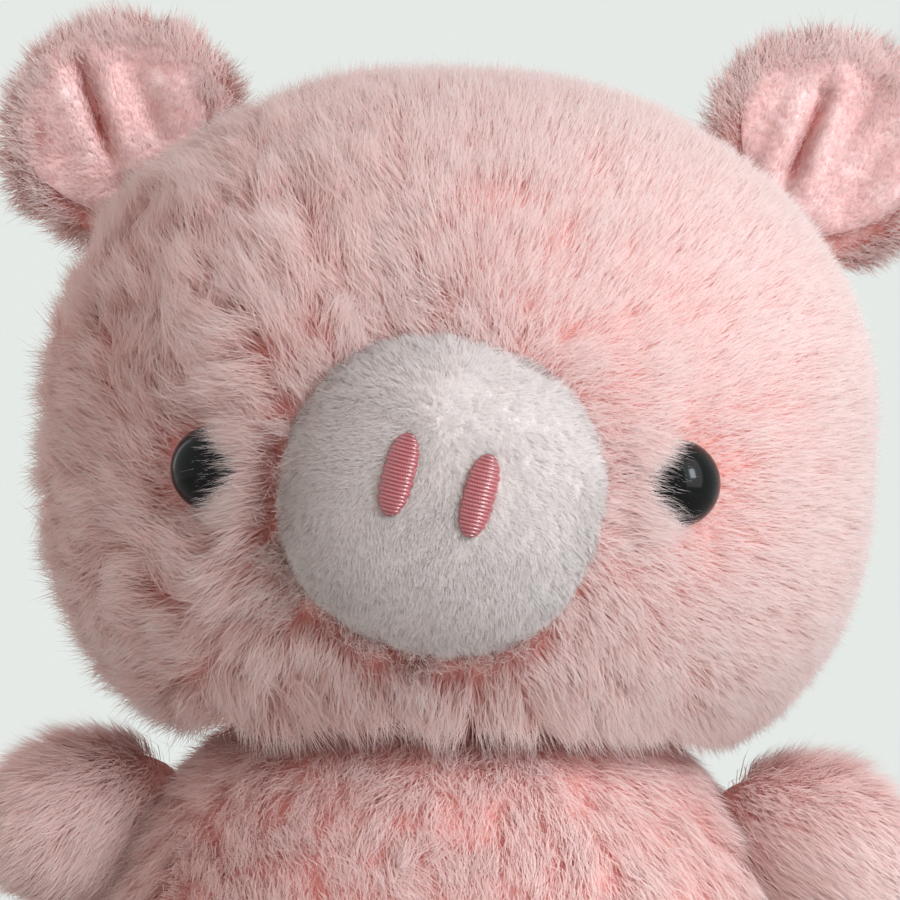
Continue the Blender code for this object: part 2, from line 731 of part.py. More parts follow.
def make_materials():
    return {
        "plush": new_material("pink_plush", (0.80, 0.50, 0.49), 0.95),
        "velour": new_material("white_velour", (0.84, 0.80, 0.79), 0.85),
        "velour_pink": new_material("pink_velour", (0.80, 0.46, 0.46), 0.7),
        "satin": new_material("rose_thread", (0.68, 0.17, 0.20), 0.4),
        "thread": new_material("sewing_thread", (0.75, 0.42, 0.42), 0.6),
        "eye": new_material("black_plastic", (0.012, 0.012, 0.014), 0.12),
        "washer": new_material("white_plastic", (0.82, 0.82, 0.80), 0.45),
        "fibre": new_material("white_fibre", (0.90, 0.90, 0.88), 1.0),
        "bag": new_material("pellet_cotton", (0.78, 0.75, 0.68), 0.95),
    }


def main():
    clear_scene()
    new_collection("plush_pig")
    new_collection("cutters").hide_render = True
    materials = make_materials()

    torso_skin, torso_filling, pellet_bag = make_torso(materials)
    tail_pivot, tail = make_tail(torso_skin, materials)
    arms = make_arms(torso_skin, torso_filling, materials)
    legs = make_legs(torso_skin, torso_filling, materials)
    thread = make_neck_thread(materials)
    head_skin, head_filling = make_head(materials)
    eyes = make_eyes(head_skin, head_filling, materials)
    ears = make_ears(head_skin, materials)
    snout = make_snout(head_skin, head_filling, materials)

    bodies = {"torso": add_body("torso", Vector())}
    bodies["neck"] = add_body("neck", NECK_PIVOT, bodies["torso"])
    bodies["head"] = add_body("head", NECK_PIVOT, bodies["neck"])
    bodies["tail_root"] = add_body("tail_root", tail_pivot, bodies["torso"])
    carry(bodies["torso"], torso_skin, torso_filling, pellet_bag)
    carry(bodies["neck"], thread)
    carry(bodies["head"], head_skin, head_filling, *snout, *eyes)
    carry(bodies["tail_root"], tail)
    for parent, sewn_on in (("torso", arms + legs), ("head", ears)):
        for hinge, pieces in sewn_on:
            carry(add_body(hinge.name, hinge.pivot, bodies[parent]), *pieces)


main()
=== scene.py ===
"""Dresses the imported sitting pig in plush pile, velour, stitches and glossy eyes, and sets its studio."""

import json
import logging
import math
from abc import ABC, abstractmethod
from collections.abc import Sequence
from dataclasses import dataclass, field
from enum import Enum

import bpy
import numpy as np
from mathutils import Matrix, Vector

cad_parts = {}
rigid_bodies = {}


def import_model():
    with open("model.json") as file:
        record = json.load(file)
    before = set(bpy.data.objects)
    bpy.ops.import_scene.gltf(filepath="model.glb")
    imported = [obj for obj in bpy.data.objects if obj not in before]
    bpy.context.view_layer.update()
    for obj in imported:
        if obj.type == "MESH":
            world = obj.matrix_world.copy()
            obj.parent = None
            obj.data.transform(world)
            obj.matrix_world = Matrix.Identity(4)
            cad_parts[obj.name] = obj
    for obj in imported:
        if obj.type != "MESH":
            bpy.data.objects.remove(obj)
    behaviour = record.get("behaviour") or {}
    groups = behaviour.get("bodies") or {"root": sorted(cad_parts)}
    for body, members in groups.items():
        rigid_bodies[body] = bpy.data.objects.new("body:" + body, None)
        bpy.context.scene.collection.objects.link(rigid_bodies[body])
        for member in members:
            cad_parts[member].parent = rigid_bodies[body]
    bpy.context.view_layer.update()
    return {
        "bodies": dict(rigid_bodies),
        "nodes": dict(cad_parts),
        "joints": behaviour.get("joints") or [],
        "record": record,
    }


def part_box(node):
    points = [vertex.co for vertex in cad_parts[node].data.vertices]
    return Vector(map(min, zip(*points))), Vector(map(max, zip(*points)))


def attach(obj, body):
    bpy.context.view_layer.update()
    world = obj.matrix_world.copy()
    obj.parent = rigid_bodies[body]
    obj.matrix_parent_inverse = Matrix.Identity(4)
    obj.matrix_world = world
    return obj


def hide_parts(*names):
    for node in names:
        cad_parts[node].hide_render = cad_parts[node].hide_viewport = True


LOG = logging.getLogger("plush_pig")

Array = np.ndarray
Colour = tuple[float, float, float]

MM = 0.001

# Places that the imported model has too
NECK_PIVOT = np.array((0.0, 0.0, 58.5)) * MM
HEAD_CENTRE = np.array((0.0, 0.0, 158.9)) * MM
SNOUT_CENTRE = np.array((0.0, -50.5, 146.8)) * MM
NECK_CUP = 63.4 * MM
DOWN = np.array((0.0, 0.0, -1.0))

# A direction that no thread and no tail runs along
OFF_AXIS = np.array((0.31, 0.17, 0.93))


class Side(Enum):
    """The pig's own left and right, with the sign of their x."""

    LEFT = 1
    RIGHT = -1

    @property
    def word(self) -> str:
        """The word that node names use."""
        return self.name.lower()

    def of(self, vector: Sequence[float]) -> Array:
        """A vector of the left side, mirrored if this is the right."""
        return np.array((self.value * vector[0], vector[1], vector[2]), dtype=float)


# Small helpers for arrays of vectors, one vector a row


def unit(vectors: Array) -> Array:
    """Vectors scaled to length one."""
    return vectors / np.maximum(np.linalg.norm(vectors, axis=-1, keepdims=True), 1e-12)


def dots(first: Array, second: Array) -> Array:
    """The dot product of each pair of rows, kept as a column."""
    return (first * second).sum(axis=-1, keepdims=True)


def along_surface(vectors: Array, normals: Array) -> Array:
    """Unit directions along a surface: each vector less its share along the normal."""
    return unit(vectors - normals * dots(vectors, normals))


def turned(vectors: Array, axes: Array, angles: Array) -> Array:
    """Vectors at right angles to their axes, turned about them by angles in radians."""
    return vectors * np.cos(angles)[:, None] + np.cross(axes, vectors) * np.sin(angles)[:, None]


def frame_axes(z_axis: Sequence[float], near_x: Sequence[float]) -> Array:
    """Three axes as columns: +Z as given, and +X as near as it can be to near_x."""
    z = unit(np.array(z_axis, dtype=float))
    y = unit(np.cross(z, near_x))
    return np.stack((np.cross(y, z), y, z), axis=1)


@dataclass(frozen=True)
class Ramp:
    """A smooth change between two values."""

    low: float
    high: float

    def rise(self, values: Array) -> Array:
        """0 below the low value, 1 above the high one, and a smooth step between them."""
        share = np.clip((values - self.low) / (self.high - self.low), 0, 1)
        return share * share * (3 - 2 * share)

    def fall(self, values: Array) -> Array:
        """1 below the low value, 0 above the high one, and a smooth step between them."""
        return 1 - self.rise(values)


@dataclass(frozen=True)
class Ripples:
    """Smooth random variation over space, about -2 to 2: sine waves of like lengths in random directions."""

    wavelength: float
    seed: int
    waves: int = 12

    def at(self, points: Array) -> Array:
        """Sums the waves at points.

        Args:
            points: Places, one a row.

        Returns:
            One number a point.
        """
        rng = np.random.default_rng(self.seed)
        ways = unit(rng.normal(size=(self.waves, 3)))
        lengths = self.wavelength * rng.uniform(0.6, 1.5, self.waves)
        phases = rng.uniform(0, 2 * math.pi, self.waves)
        waves = np.sin(points @ (ways / lengths[:, None]).T * 2 * math.pi + phases)
        return waves.sum(axis=1) / math.sqrt(self.waves / 2)


# Forms: closed soft shapes, as functions of a unit direction


@dataclass(frozen=True)
class Form(ABC):
    """A closed form around its origin, in axes given as columns."""

    origin: Array
    axes: Array

    @abstractmethod
    def shape(self, ways: Array, growth: float) -> Array:
        """The form's own points for unit directions, when it is grown by some length."""

    def points(self, ways: Array, growth: float = 0.0) -> Array:
        """Points of the grown form in the shared frame."""
        return self.origin + self.shape(ways, growth) @ self.axes.T

    def local(self, points: Array) -> Array:
        """Places of the shared frame in the form's own axes, from its origin."""
        return (points - self.origin) @ self.axes

    def facing(self, ways: Array, growth: float = 0.0) -> tuple[Array, Array]:
        """Normals and stretch, from how the points move when each direction is tipped two ways.

        Args:
            ways: Unit directions, one a row.
            growth: How much the form is grown.

        Returns:
            Unit normals, and the area of surface for each unit of solid angle.
        """
        step = 1e-3
        helper = np.where(np.abs(ways[:, 2:]) < 0.9, np.array((0.0, 0, 1)), np.array((1.0, 0, 0)))
        first = unit(np.cross(helper, ways))
        second = np.cross(ways, first)
        here = self.points(ways, growth)
        moved = [self.points(unit(ways + step * side), growth) - here for side in (first, second)]
        across = np.cross(*moved)
        return unit(across), np.linalg.norm(across, axis=1) / step**2


def superellipsoid(ways: Array, half: Sequence[float] | Array, power: float) -> Array:
    """Points of a rounded box: each direction, scaled so that its powers sum to one, times the half sizes."""
    norm = (np.abs(ways) ** power).sum(axis=1) ** (-1 / power)
    return ways * norm[:, None] * np.asarray(half)


@dataclass(frozen=True)
class TorsoForm(Form):
    """A round body with a dome for the head and a seat pressed flat."""

    origin: Array = field(default_factory=lambda: np.zeros(3))
    axes: Array = field(default_factory=lambda: np.eye(3))
    half_width: float = 61.0 * MM
    half_depth: float = 58.5 * MM
    waist: float = 58.5 * MM
    dome: float = 61.6 * MM
    press: float = 14.0 * MM
    edge: float = 2.0 * MM
    seat_cut: float = 0.5 * MM
    power: float = 2.05

    def shape(self, ways: Array, growth: float) -> Array:
        """A rounded box whose lower half eases onto the floor, as (h + sqrt(h^2 + 4 e^2)) / 2 does."""
        heights = np.where(ways[:, 2] > 0, self.dome, self.waist + self.press) + growth
        wide = np.full(len(ways), self.half_width + growth)
        deep = np.full(len(ways), self.half_depth + growth)
        points = superellipsoid(ways, np.stack((wide, deep, heights), axis=1), self.power)
        rise = points[:, 2] + self.waist + growth
        settle = (rise + np.sqrt(rise**2 + 4 * self.edge**2)) / 2
        sunk = (-self.press + math.sqrt(self.press**2 + 4 * self.edge**2)) / 2
        points[:, 2] = settle - growth - sunk - self.seat_cut
        return points


@dataclass(frozen=True)
class HeadForm(Form):
    """A head that is round from above, a little square at the jowls and rounder over the top."""

    origin: Array = field(default_factory=lambda: HEAD_CENTRE)
    axes: Array = field(default_factory=lambda: np.eye(3))
    half: tuple[float, float, float] = (72.5 * MM, 56.0 * MM, 61.2 * MM)
    plan_power: float = 2.15
    top_power: float = 2.1
    jowl_power: float = 3.0
    blend: float = 0.35

    def shape(self, ways: Array, growth: float) -> Array:
        """Directions scaled by a norm that mixes a plan power with a power that eases from top to jowls.
        What would lie inside the neck's cup is pushed out to it."""
        share = np.sin(np.clip(ways[:, 2] / self.blend, -1, 1) * math.pi / 2)
        middle = (self.top_power + self.jowl_power) / 2
        power = middle + (self.top_power - middle) * share
        plan = (np.abs(ways[:, :2]) ** self.plan_power).sum(axis=1) ** (1 / self.plan_power)
        norm = (plan**power + np.abs(ways[:, 2]) ** power) ** (-1 / power)
        points = ways * norm[:, None] * (np.array(self.half) + growth)
        from_neck = points + self.origin - NECK_PIVOT
        reach = np.linalg.norm(from_neck, axis=1, keepdims=True)
        cup = NECK_CUP - growth
        return from_neck * np.maximum(1, cup / reach) - self.origin + NECK_PIVOT


@dataclass(frozen=True)
class LimbForm(Form):
    """A stubby limb along its +Z that swells towards its round tip. Its root lies behind its hinge."""

    radius: float = 14.6 * MM
    half_length: float = 20.0 * MM
    root: float = 11.0 * MM
    swell: float = 0.10
    power: float = 2.35

    def shape(self, ways: Array, growth: float) -> Array:
        """A rounded box, widened in proportion to how far each direction points to the tip."""
        half = np.array((self.radius, self.radius, self.half_length)) + growth
        points = superellipsoid(ways, half, self.power)
        points[:, :2] *= 1 + self.swell * ways[:, 2:]
        points[:, 2] += self.half_length - self.root
        return points


@dataclass(frozen=True)
class EarForm(Form):
    """A flat round ear, pinched in at its base and cupped towards the face, which is at its -Y."""

    margin: float = 0.0
    half_thickness: float = 4.8 * MM
    forward: float = 0.0
    rise: float = 0.0
    half_width: float = 22.4 * MM
    half_height: float = 22.1 * MM
    cup: float = 4.5 * MM
    root: float = 8.2 * MM
    pinch: float = 0.28

    def shape(self, ways: Array, growth: float) -> Array:
        """An ellipsoid, narrowed below its middle and bent forward by the squares of its width and height."""
        half = np.array((self.half_width - self.margin, self.half_thickness, self.half_height - self.margin))
        points = ways * (half + growth)
        height = points[:, 2] / self.half_height
        points[:, 0] *= 1 + self.pinch * np.minimum(0, height)
        bend = (points[:, 0] / self.half_width) ** 2 + np.maximum(0, height) ** 2
        points[:, 1] -= self.forward + self.cup * bend
        points[:, 2] += self.half_height - self.root + self.rise
        return points


@dataclass(frozen=True)
class SnoutForm(Form):
    """The domed snout, rolled a little to one side."""

    origin: Array = field(default_factory=lambda: SNOUT_CENTRE)
    axes: Array = field(default_factory=lambda: np.array(Matrix.Rotation(math.radians(13), 3, "Y")))
    half: tuple[float, float, float] = (25.4 * MM, 17.0 * MM, 24.9 * MM)
    power: float = 2.25

    def shape(self, ways: Array, growth: float) -> Array:
        """A rounded box."""
        return superellipsoid(ways, np.array(self.half) + growth, self.power)


# Meshes


@dataclass(frozen=True)
class Sheet:
    """Points with the four-sided and three-sided faces that join them."""

    points: Array
    quads: Array
    triangles: Array

    def build(self, name: str, smooth: bool = True) -> bpy.types.Object:
        """Makes the mesh and its object.

        Args:
            name: The piece's name.
            smooth: Whether its faces are shaded smooth.

        Returns:
            The new object, at the origin.
        """
        mesh = bpy.data.meshes.new(name)
        mesh.vertices.add(len(self.points))
        mesh.vertices.foreach_set("co", self.points.astype(np.float32).ravel())
        corners = np.concatenate((self.quads.ravel(), self.triangles.ravel())).astype(np.int32)
        fours = 4 * np.arange(len(self.quads))
        threes = 4 * len(self.quads) + 3 * np.arange(len(self.triangles))
        mesh.loops.add(len(corners))
        mesh.loops.foreach_set("vertex_index", corners)
        mesh.polygons.add(len(self.quads) + len(self.triangles))
        mesh.polygons.foreach_set("loop_start", np.concatenate((fours, threes)).astype(np.int32))
        mesh.update(calc_edges=True)
        mesh.polygons.foreach_set("use_smooth", np.full(len(mesh.polygons), smooth))
        mesh.validate()
        piece = bpy.data.objects.new(name, mesh)
        bpy.context.scene.collection.objects.link(piece)
        return piece


def mark(mesh: bpy.types.Mesh, name: str, numbers: Array) -> None:
    """Stores one number a point."""
    mesh.attributes.new(name, "FLOAT", "POINT").data.foreach_set("value", numbers.astype(np.float32))


def corner_points(mesh: bpy.types.Mesh) -> Array:
    """The number of the point at each face corner."""
    numbers = np.empty(len(mesh.loops), np.int32)
    mesh.loops.foreach_get("vertex_index", numbers)
    return numbers


def unwrap(mesh: bpy.types.Mesh, name: str, places: Array) -> None:
    """Makes a UV map from one place a point."""
    corners = places[corner_points(mesh)].astype(np.float32)
    mesh.uv_layers.new(name=name).data.foreach_set("uv", corners.ravel())


@dataclass(frozen=True)
class Globe:
    """A grid over a sphere with its poles closed, from which closed forms are made."""

    rows: int
    columns: int

    def ways(self) -> Array:
        """Unit directions: the two poles last, and the rings before them from top to bottom."""
        polar = np.pi * np.arange(1, self.rows) / self.rows
        round_angle = 2 * np.pi * np.arange(self.columns) / self.columns
        polar, round_angle = np.meshgrid(polar, round_angle, indexing="ij")
        sides = np.sin(polar)
        rings = np.stack((sides * np.cos(round_angle), sides * np.sin(round_angle), np.cos(polar)), axis=-1)
        return np.concatenate((rings.reshape(-1, 3), np.array(((0.0, 0, 1), (0, 0, -1)))))

    def sheet(self, points: Array) -> Sheet:
        """Joins points that were worked out from the grid's directions."""
        row, column = np.meshgrid(np.arange(self.rows - 2), np.arange(self.columns), indexing="ij")
        after = (column + 1) % self.columns
        here = row * self.columns
        below = here + self.columns
        quads = np.stack((here + column, below + column, below + after, here + after), axis=-1)
        column = np.arange(self.columns)
        after = (column + 1) % self.columns
        last = (self.rows - 2) * self.columns
        top = (self.rows - 1) * self.columns
        caps = (
            np.stack((np.full(self.columns, top), column, after), axis=-1),
            np.stack((np.full(self.columns, top + 1), last + after, last + column), axis=-1),
        )
        return Sheet(points, quads.reshape(-1, 4), np.concatenate(caps))


def lathe(profile: Array, columns: int, origin: Array, axes: Array) -> Sheet:
    """A closed turned shape: each ring of the globe grid takes a radius and height from the profile.

    Args:
        profile: Radius and height of each point from the top pole to the bottom pole.
        columns: How many points go round.
        origin: The place of the shape's own origin.
        axes: The shape's own axes, as columns.

    Returns:
        The surface.
    """
    globe = Globe(len(profile) - 1, columns)
    around = unit(globe.ways()[:-2] * (1, 1, 0)).reshape(len(profile) - 2, columns, 3)
    rings = around * profile[1:-1, 0][:, None, None]
    rings[:, :, 2] = profile[1:-1, 1][:, None]
    poles = np.array(((0, 0, profile[0, 1]), (0, 0, profile[-1, 1])))
    points = np.concatenate((rings.reshape(-1, 3), poles))
    return globe.sheet(origin + points @ axes.T)


def tube(path: Array, radii: Array, sides: int) -> Sheet:
    """A closed round tube along a path: rings at right angles to it, with a point beyond each end.

    Args:
        path: Points along the middle, in order.
        radii: The radius at each point.
        sides: How many points go round.

    Returns:
        The surface.
    """
    ahead = unit(np.gradient(path, axis=0))
    first = unit(np.cross(ahead, OFF_AXIS))
    second = np.cross(ahead, first)
    angles = 2 * np.pi * np.arange(sides) / sides
    cosines = np.cos(angles)[None, :, None]
    sines = np.sin(angles)[None, :, None]
    ring = cosines * first[:, None, :] + sines * second[:, None, :]
    rings = path[:, None, :] + ring * radii[:, None, None]
    ends = np.stack((path[0] - ahead[0] * radii[0] / 2, path[-1] + ahead[-1] * radii[-1] / 2))
    globe = Globe(len(path) + 1, sides)
    sheet = globe.sheet(np.concatenate((rings.reshape(-1, 3), ends)))
    return Sheet(sheet.points, sheet.quads[:, ::-1], sheet.triangles[:, ::-1])


# Shader nodes as expressions


class Value:
    """A shader socket that takes part in sums, products and the like."""

    def __init__(self, nodes: "NodeBook", socket: bpy.types.NodeSocket) -> None:
        """Keeps the socket with the tree that it is in."""
        self.nodes = nodes
        self.socket = socket

    def _math(self, operation: str, *inputs: "Value | float") -> "Value":
        """One Math node."""
        return self.nodes.add("ShaderNodeMath", {"operation": operation}, dict(enumerate(inputs)))

    def __add__(self, other: "Value | float") -> "Value":
        """This plus other."""
        return self._math("ADD", self, other)

    def __sub__(self, other: "Value | float") -> "Value":
        """This less other."""
        return self._math("SUBTRACT", self, other)

    def __rsub__(self, other: float) -> "Value":
        """Other less this."""
        return self._math("SUBTRACT", other, self)

    def __mul__(self, other: "Value | float") -> "Value":
        """This times other."""
        return self._math("MULTIPLY", self, other)

    __radd__ = __add__
    __rmul__ = __mul__

    def larger(self, other: "Value | float") -> "Value":
        """The larger of this and other."""
        return self._math("MAXIMUM", self, other)

    def sine(self) -> "Value":
        """The sine of this."""
        return self._math("SINE", self)

    def step(self, low: float, high: float) -> "Value":
        """0 at low, 1 at high and smooth between them."""
        settings = {"interpolation_type": "SMOOTHSTEP"}
        inputs = {"Value": self, "From Min": low, "From Max": high}
        return self.nodes.add("ShaderNodeMapRange", settings, inputs)


class NodeBook:
    """Writes the nodes of one tree."""

    def __init__(self, tree: bpy.types.NodeTree) -> None:
        """Keeps the tree."""
        self.tree = tree

    def add(
        self,
        kind: str,
        settings: dict[str, object] | None = None,
        inputs: dict[str | int, object] | None = None,
        output: str | int = 0,
    ) -> Value:
        """Adds a node, sets it and links it.

        Args:
            kind: The node's type.
            settings: Its properties, which are set first.
            inputs: Values or links for its sockets, by name or number.
            output: Which socket comes back.

        Returns:
            That socket.
        """
        node = self.tree.nodes.new(kind)
        for key, value in (settings or {}).items():
            setattr(node, key, value)
        for key, value in (inputs or {}).items():
            self.put(node.inputs[key], value)
        return Value(self, node.outputs[output])

    def put(self, socket: bpy.types.NodeSocket, value: object) -> None:
        """Gives a socket a link, a number or a colour."""
        if isinstance(value, Value):
            self.tree.links.new(value.socket, socket)
        elif isinstance(value, tuple) and len(value) == 3 and socket.type == "RGBA":
            socket.default_value = (*value, 1)
        else:
            socket.default_value = value


class MaterialBook(NodeBook):
    """Writes the nodes of one material."""

    def __init__(self, name: str) -> None:
        """Starts a material with its Principled shader."""
        self.material = bpy.data.materials.new(name)
        self.material.use_nodes = True
        super().__init__(self.material.node_tree)
        self.shader = self.tree.nodes["Principled BSDF"]

    def mix(self, factor: Value | float, first: Value | Colour, second: Value | Colour) -> Value:
        """A colour between two others."""
        settings = {"data_type": "RGBA"}
        return self.add("ShaderNodeMix", settings, {0: factor, 6: first, 7: second}, 2)

    def scaled(self, colour: Value, factor: Value | float) -> Value:
        """A colour made lighter or darker."""
        return self.add("ShaderNodeVectorMath", {"operation": "SCALE"}, {0: colour, "Scale": factor})

    def attribute(self, name: str) -> Value:
        """A number that the mesh holds."""
        return self.add("ShaderNodeAttribute", {"attribute_name": name}, output="Fac")

    def place(self) -> Value:
        """Object coordinates."""
        return self.add("ShaderNodeTexCoord", output="Object")

    def noise(self, grain: float, detail: float = 3.0) -> Value:
        """Noise whose spots are about one grain across, as a number from 0 to 1."""
        inputs = {"Vector": self.place(), "Scale": 1 / grain, "Detail": detail, "Roughness": 0.55}
        return self.add("ShaderNodeTexNoise", None, inputs)

    def bump(self, height: Value, depth: float) -> None:
        """Raises the surface by a height times a depth."""
        inputs = {"Height": height, "Distance": depth, "Strength": 1.0}
        self.put(self.shader.inputs["Normal"], self.add("ShaderNodeBump", None, inputs))

    def let_through(self, share: float, colour: Colour) -> bpy.types.Material:
        """Lets a share of the light through to the other side, as a thin fibre does."""
        through = self.add("ShaderNodeBsdfTranslucent", None, {"Color": colour})
        front = Value(self, self.shader.outputs[0])
        both = self.add("ShaderNodeMixShader", None, {0: share, 1: front, 2: through})
        self.put(self.tree.nodes["Material Output"].inputs["Surface"], both)
        return self.material

    def shade(self, **sockets: object) -> bpy.types.Material:
        """Sets the shader's sockets, whose spaces are written as underscores, and gives the material back."""
        for name, value in sockets.items():
            self.put(self.shader.inputs[name.replace("_", " ")], value)
        return self.material


# Finishes


@dataclass(frozen=True)
class Recipe(ABC):
    """How one finish is made."""

    name: str

    @abstractmethod
    def material(self) -> bpy.types.Material:
        """Makes the finish's material."""


@dataclass(frozen=True)
class PileFinish(Recipe):
    """The strands of a pile, from a deep root colour to a pale tip, each a little lighter or darker. The deep
    root colour is partly the pile's own two-tone and partly painted light, for the warm light that scatters
    down between the strands.
    """

    root: Colour
    middle: Colour
    tip: Colour
    variation: float = 0.16
    roughness: float = 0.85
    sheen: float = 0.25
    glow: float = 0.34

    def material(self) -> bpy.types.Material:
        """The colour follows how far along its strand a point is, times the strand's own tone."""
        book = MaterialBook(self.name)
        along = book.attribute("along")
        tone = book.attribute("tone")
        # Partly painted light: the saturated root stands in for light scattered down into the shaded gaps
        colour = book.mix(along.step(0.0, 0.5), self.root, self.middle)
        colour = book.mix(along.step(0.35, 0.9) * (tone * 1.3 + 0.3).step(0.0, 1.0), colour, self.tip)
        colour = book.scaled(colour, tone * self.variation + (1 - self.variation / 2))
        book.shade(Base_Color=colour, Roughness=self.roughness, Sheen_Weight=self.sheen, Sheen_Roughness=0.4)
        return book.let_through(self.glow, self.middle)


@dataclass(frozen=True)
class BackingFinish(Recipe):
    """The cloth that a pile grows from, mottled by fine noise."""

    dark: Colour
    light: Colour
    grain: float = 1.2 * MM
    roughness: float = 0.95

    def material(self) -> bpy.types.Material:
        """Two colours mixed by fine noise, which also lifts the surface."""
        book = MaterialBook(self.name)
        spots = book.noise(self.grain)
        book.bump(spots, 0.5 * self.grain)
        colour = book.mix(spots.step(0.3, 0.7), self.dark, self.light)
        return book.shade(Base_Color=colour, Roughness=self.roughness)


@dataclass(frozen=True)
class SatinVelour(Recipe):
    """Short velour with cloudy patches, and painted shade: a dark red down in its folds."""

    deep: Colour
    pale: Colour
    # Painted shade: the dark red that the bottom of a fold is coloured
    folded: Colour = (0.58, 0.09, 0.07)
    grain: float = 0.9 * MM
    nap_height: float = 0.10 * MM

    def material(self) -> bpy.types.Material:
        """Cloudy patches and a fine nap, with painted shade in the folds from the crease attribute."""
        book = MaterialBook(self.name)
        cloud = book.noise(7 * self.grain, 2)
        nap = book.noise(self.grain / 2, 2)
        crease = book.attribute("crease")
        colour = book.mix(cloud.step(0.3, 0.7), self.deep, self.pale)
        colour = book.scaled(colour, nap * 0.3 + 0.85)
        # Painted shade down in the folds
        colour = book.mix(crease, colour, self.folded)
        book.bump(nap + cloud * 0.3, self.nap_height)
        return book.shade(Base_Color=colour, Roughness=0.85, Sheen_Weight=0.5, Sheen_Roughness=0.5)


@dataclass(frozen=True)
class StitchThread(Recipe):
    """Shiny embroidery thread: two plies that twist, seen as fine slanted lines of painted shade and painted
    highlight.
    """

    dark: Colour
    bright: Colour
    # Painted shade colour for the gaps between threads
    between: Colour = (0.14, 0.01, 0.015)
    slant: tuple[float, float] = (60.0, 5.0)
    ply_height: float = 0.06 * MM

    def material(self) -> bpy.types.Material:
        """Sine lines on the piece's own UV map, which runs along each thread: painted shade in the ply
        grooves, painted highlight on the ply crowns, and painted shade in the gaps between threads.
        """
        book = MaterialBook(self.name)
        where = book.add("ShaderNodeUVMap", {"uv_map": "thread"})
        run, ride = (book.add("ShaderNodeSeparateXYZ", None, {0: where}, axis) for axis in "XY")
        twist = ((run * self.slant[0] + ride * self.slant[1]).sine() + 1.0) * 0.5
        # Random noise, which moves the colour between the dark and the bright
        worn = book.noise(1.2 * MM, 2)
        # Painted shade in the ply grooves and painted highlight on the ply crowns, from the twist lines
        colour = book.mix(twist * 0.55 + worn * 0.35, self.dark, self.bright)
        # Painted shade in the gaps between threads, from the gap attribute
        colour = book.mix(book.attribute("gap"), colour, self.between)
        book.bump(twist, self.ply_height)
        book.shade(Base_Color=colour, Roughness=0.3)
        return book.shade(Coat_Weight=1.0, Coat_Roughness=0.13, Coat_IOR=1.9)


@dataclass(frozen=True)
class EyePlastic(Recipe):
    """Polished black plastic with a trace of dust."""

    black: Colour = (0.001, 0.001, 0.0015)
    dusty: Colour = (0.004, 0.0035, 0.0035)

    def material(self) -> bpy.types.Material:
        """Near black, with roughness that drifts a little."""
        book = MaterialBook(self.name)
        dust = book.noise(2.5 * MM, 4)
        colour = book.mix(dust.step(0.55, 0.9), self.black, self.dusty)
        roughness = dust * 0.06 + 0.10
        return book.shade(Base_Color=colour, Roughness=roughness, IOR=1.3)


@dataclass(frozen=True)
class MouldedPlastic(Recipe):
    """Plain moulded plastic with a faint grain."""

    colour: Colour
    grain: float = 0.8 * MM
    grain_height: float = 0.03 * MM

    def material(self) -> bpy.types.Material:
        """A colour that drifts slightly, over a fine bump."""
        book = MaterialBook(self.name)
        grain = book.noise(self.grain)
        book.bump(grain, self.grain_height)
        worn = tuple(0.9 * part for part in self.colour)
        return book.shade(Base_Color=book.mix(grain, worn, self.colour), Roughness=grain * 0.15 + 0.38)


# Pile


@dataclass(frozen=True)
class Pile:
    """How a cloth's pile grows: strands gathered in locks, and locks gathered in tufts."""

    strands: int
    length: float
    width: float
    inset: float
    seed: int
    lean: float = math.radians(60)
    lean_spread: float = math.radians(9)
    per_lock: int = 14
    lock_spread: float = 0.9 * MM
    lock_pull: float = 0.55
    tuft_size: float = 6.0 * MM
    tuft_pull: float = 0.32
    tuft_turn: float = math.radians(22)
    swirl: float = math.radians(26)
    swirl_size: float = 34 * MM
    twist: float = math.radians(24)
    tone: float = 0.5
    levels: tuple[float, ...] = (0.0, 0.5, 1.0)
    taper: tuple[float, ...] = (1.0, 0.8)
    lean_limits: tuple[float, float] = (0.1, math.radians(80))
    lock_turn: float = math.radians(8)
    lock_lean: float = 0.06
    tuft_length: float = 0.08
    tuft_tone: float = 0.16
    lock_tone: float = 0.05
    strand_tone: float = 0.07


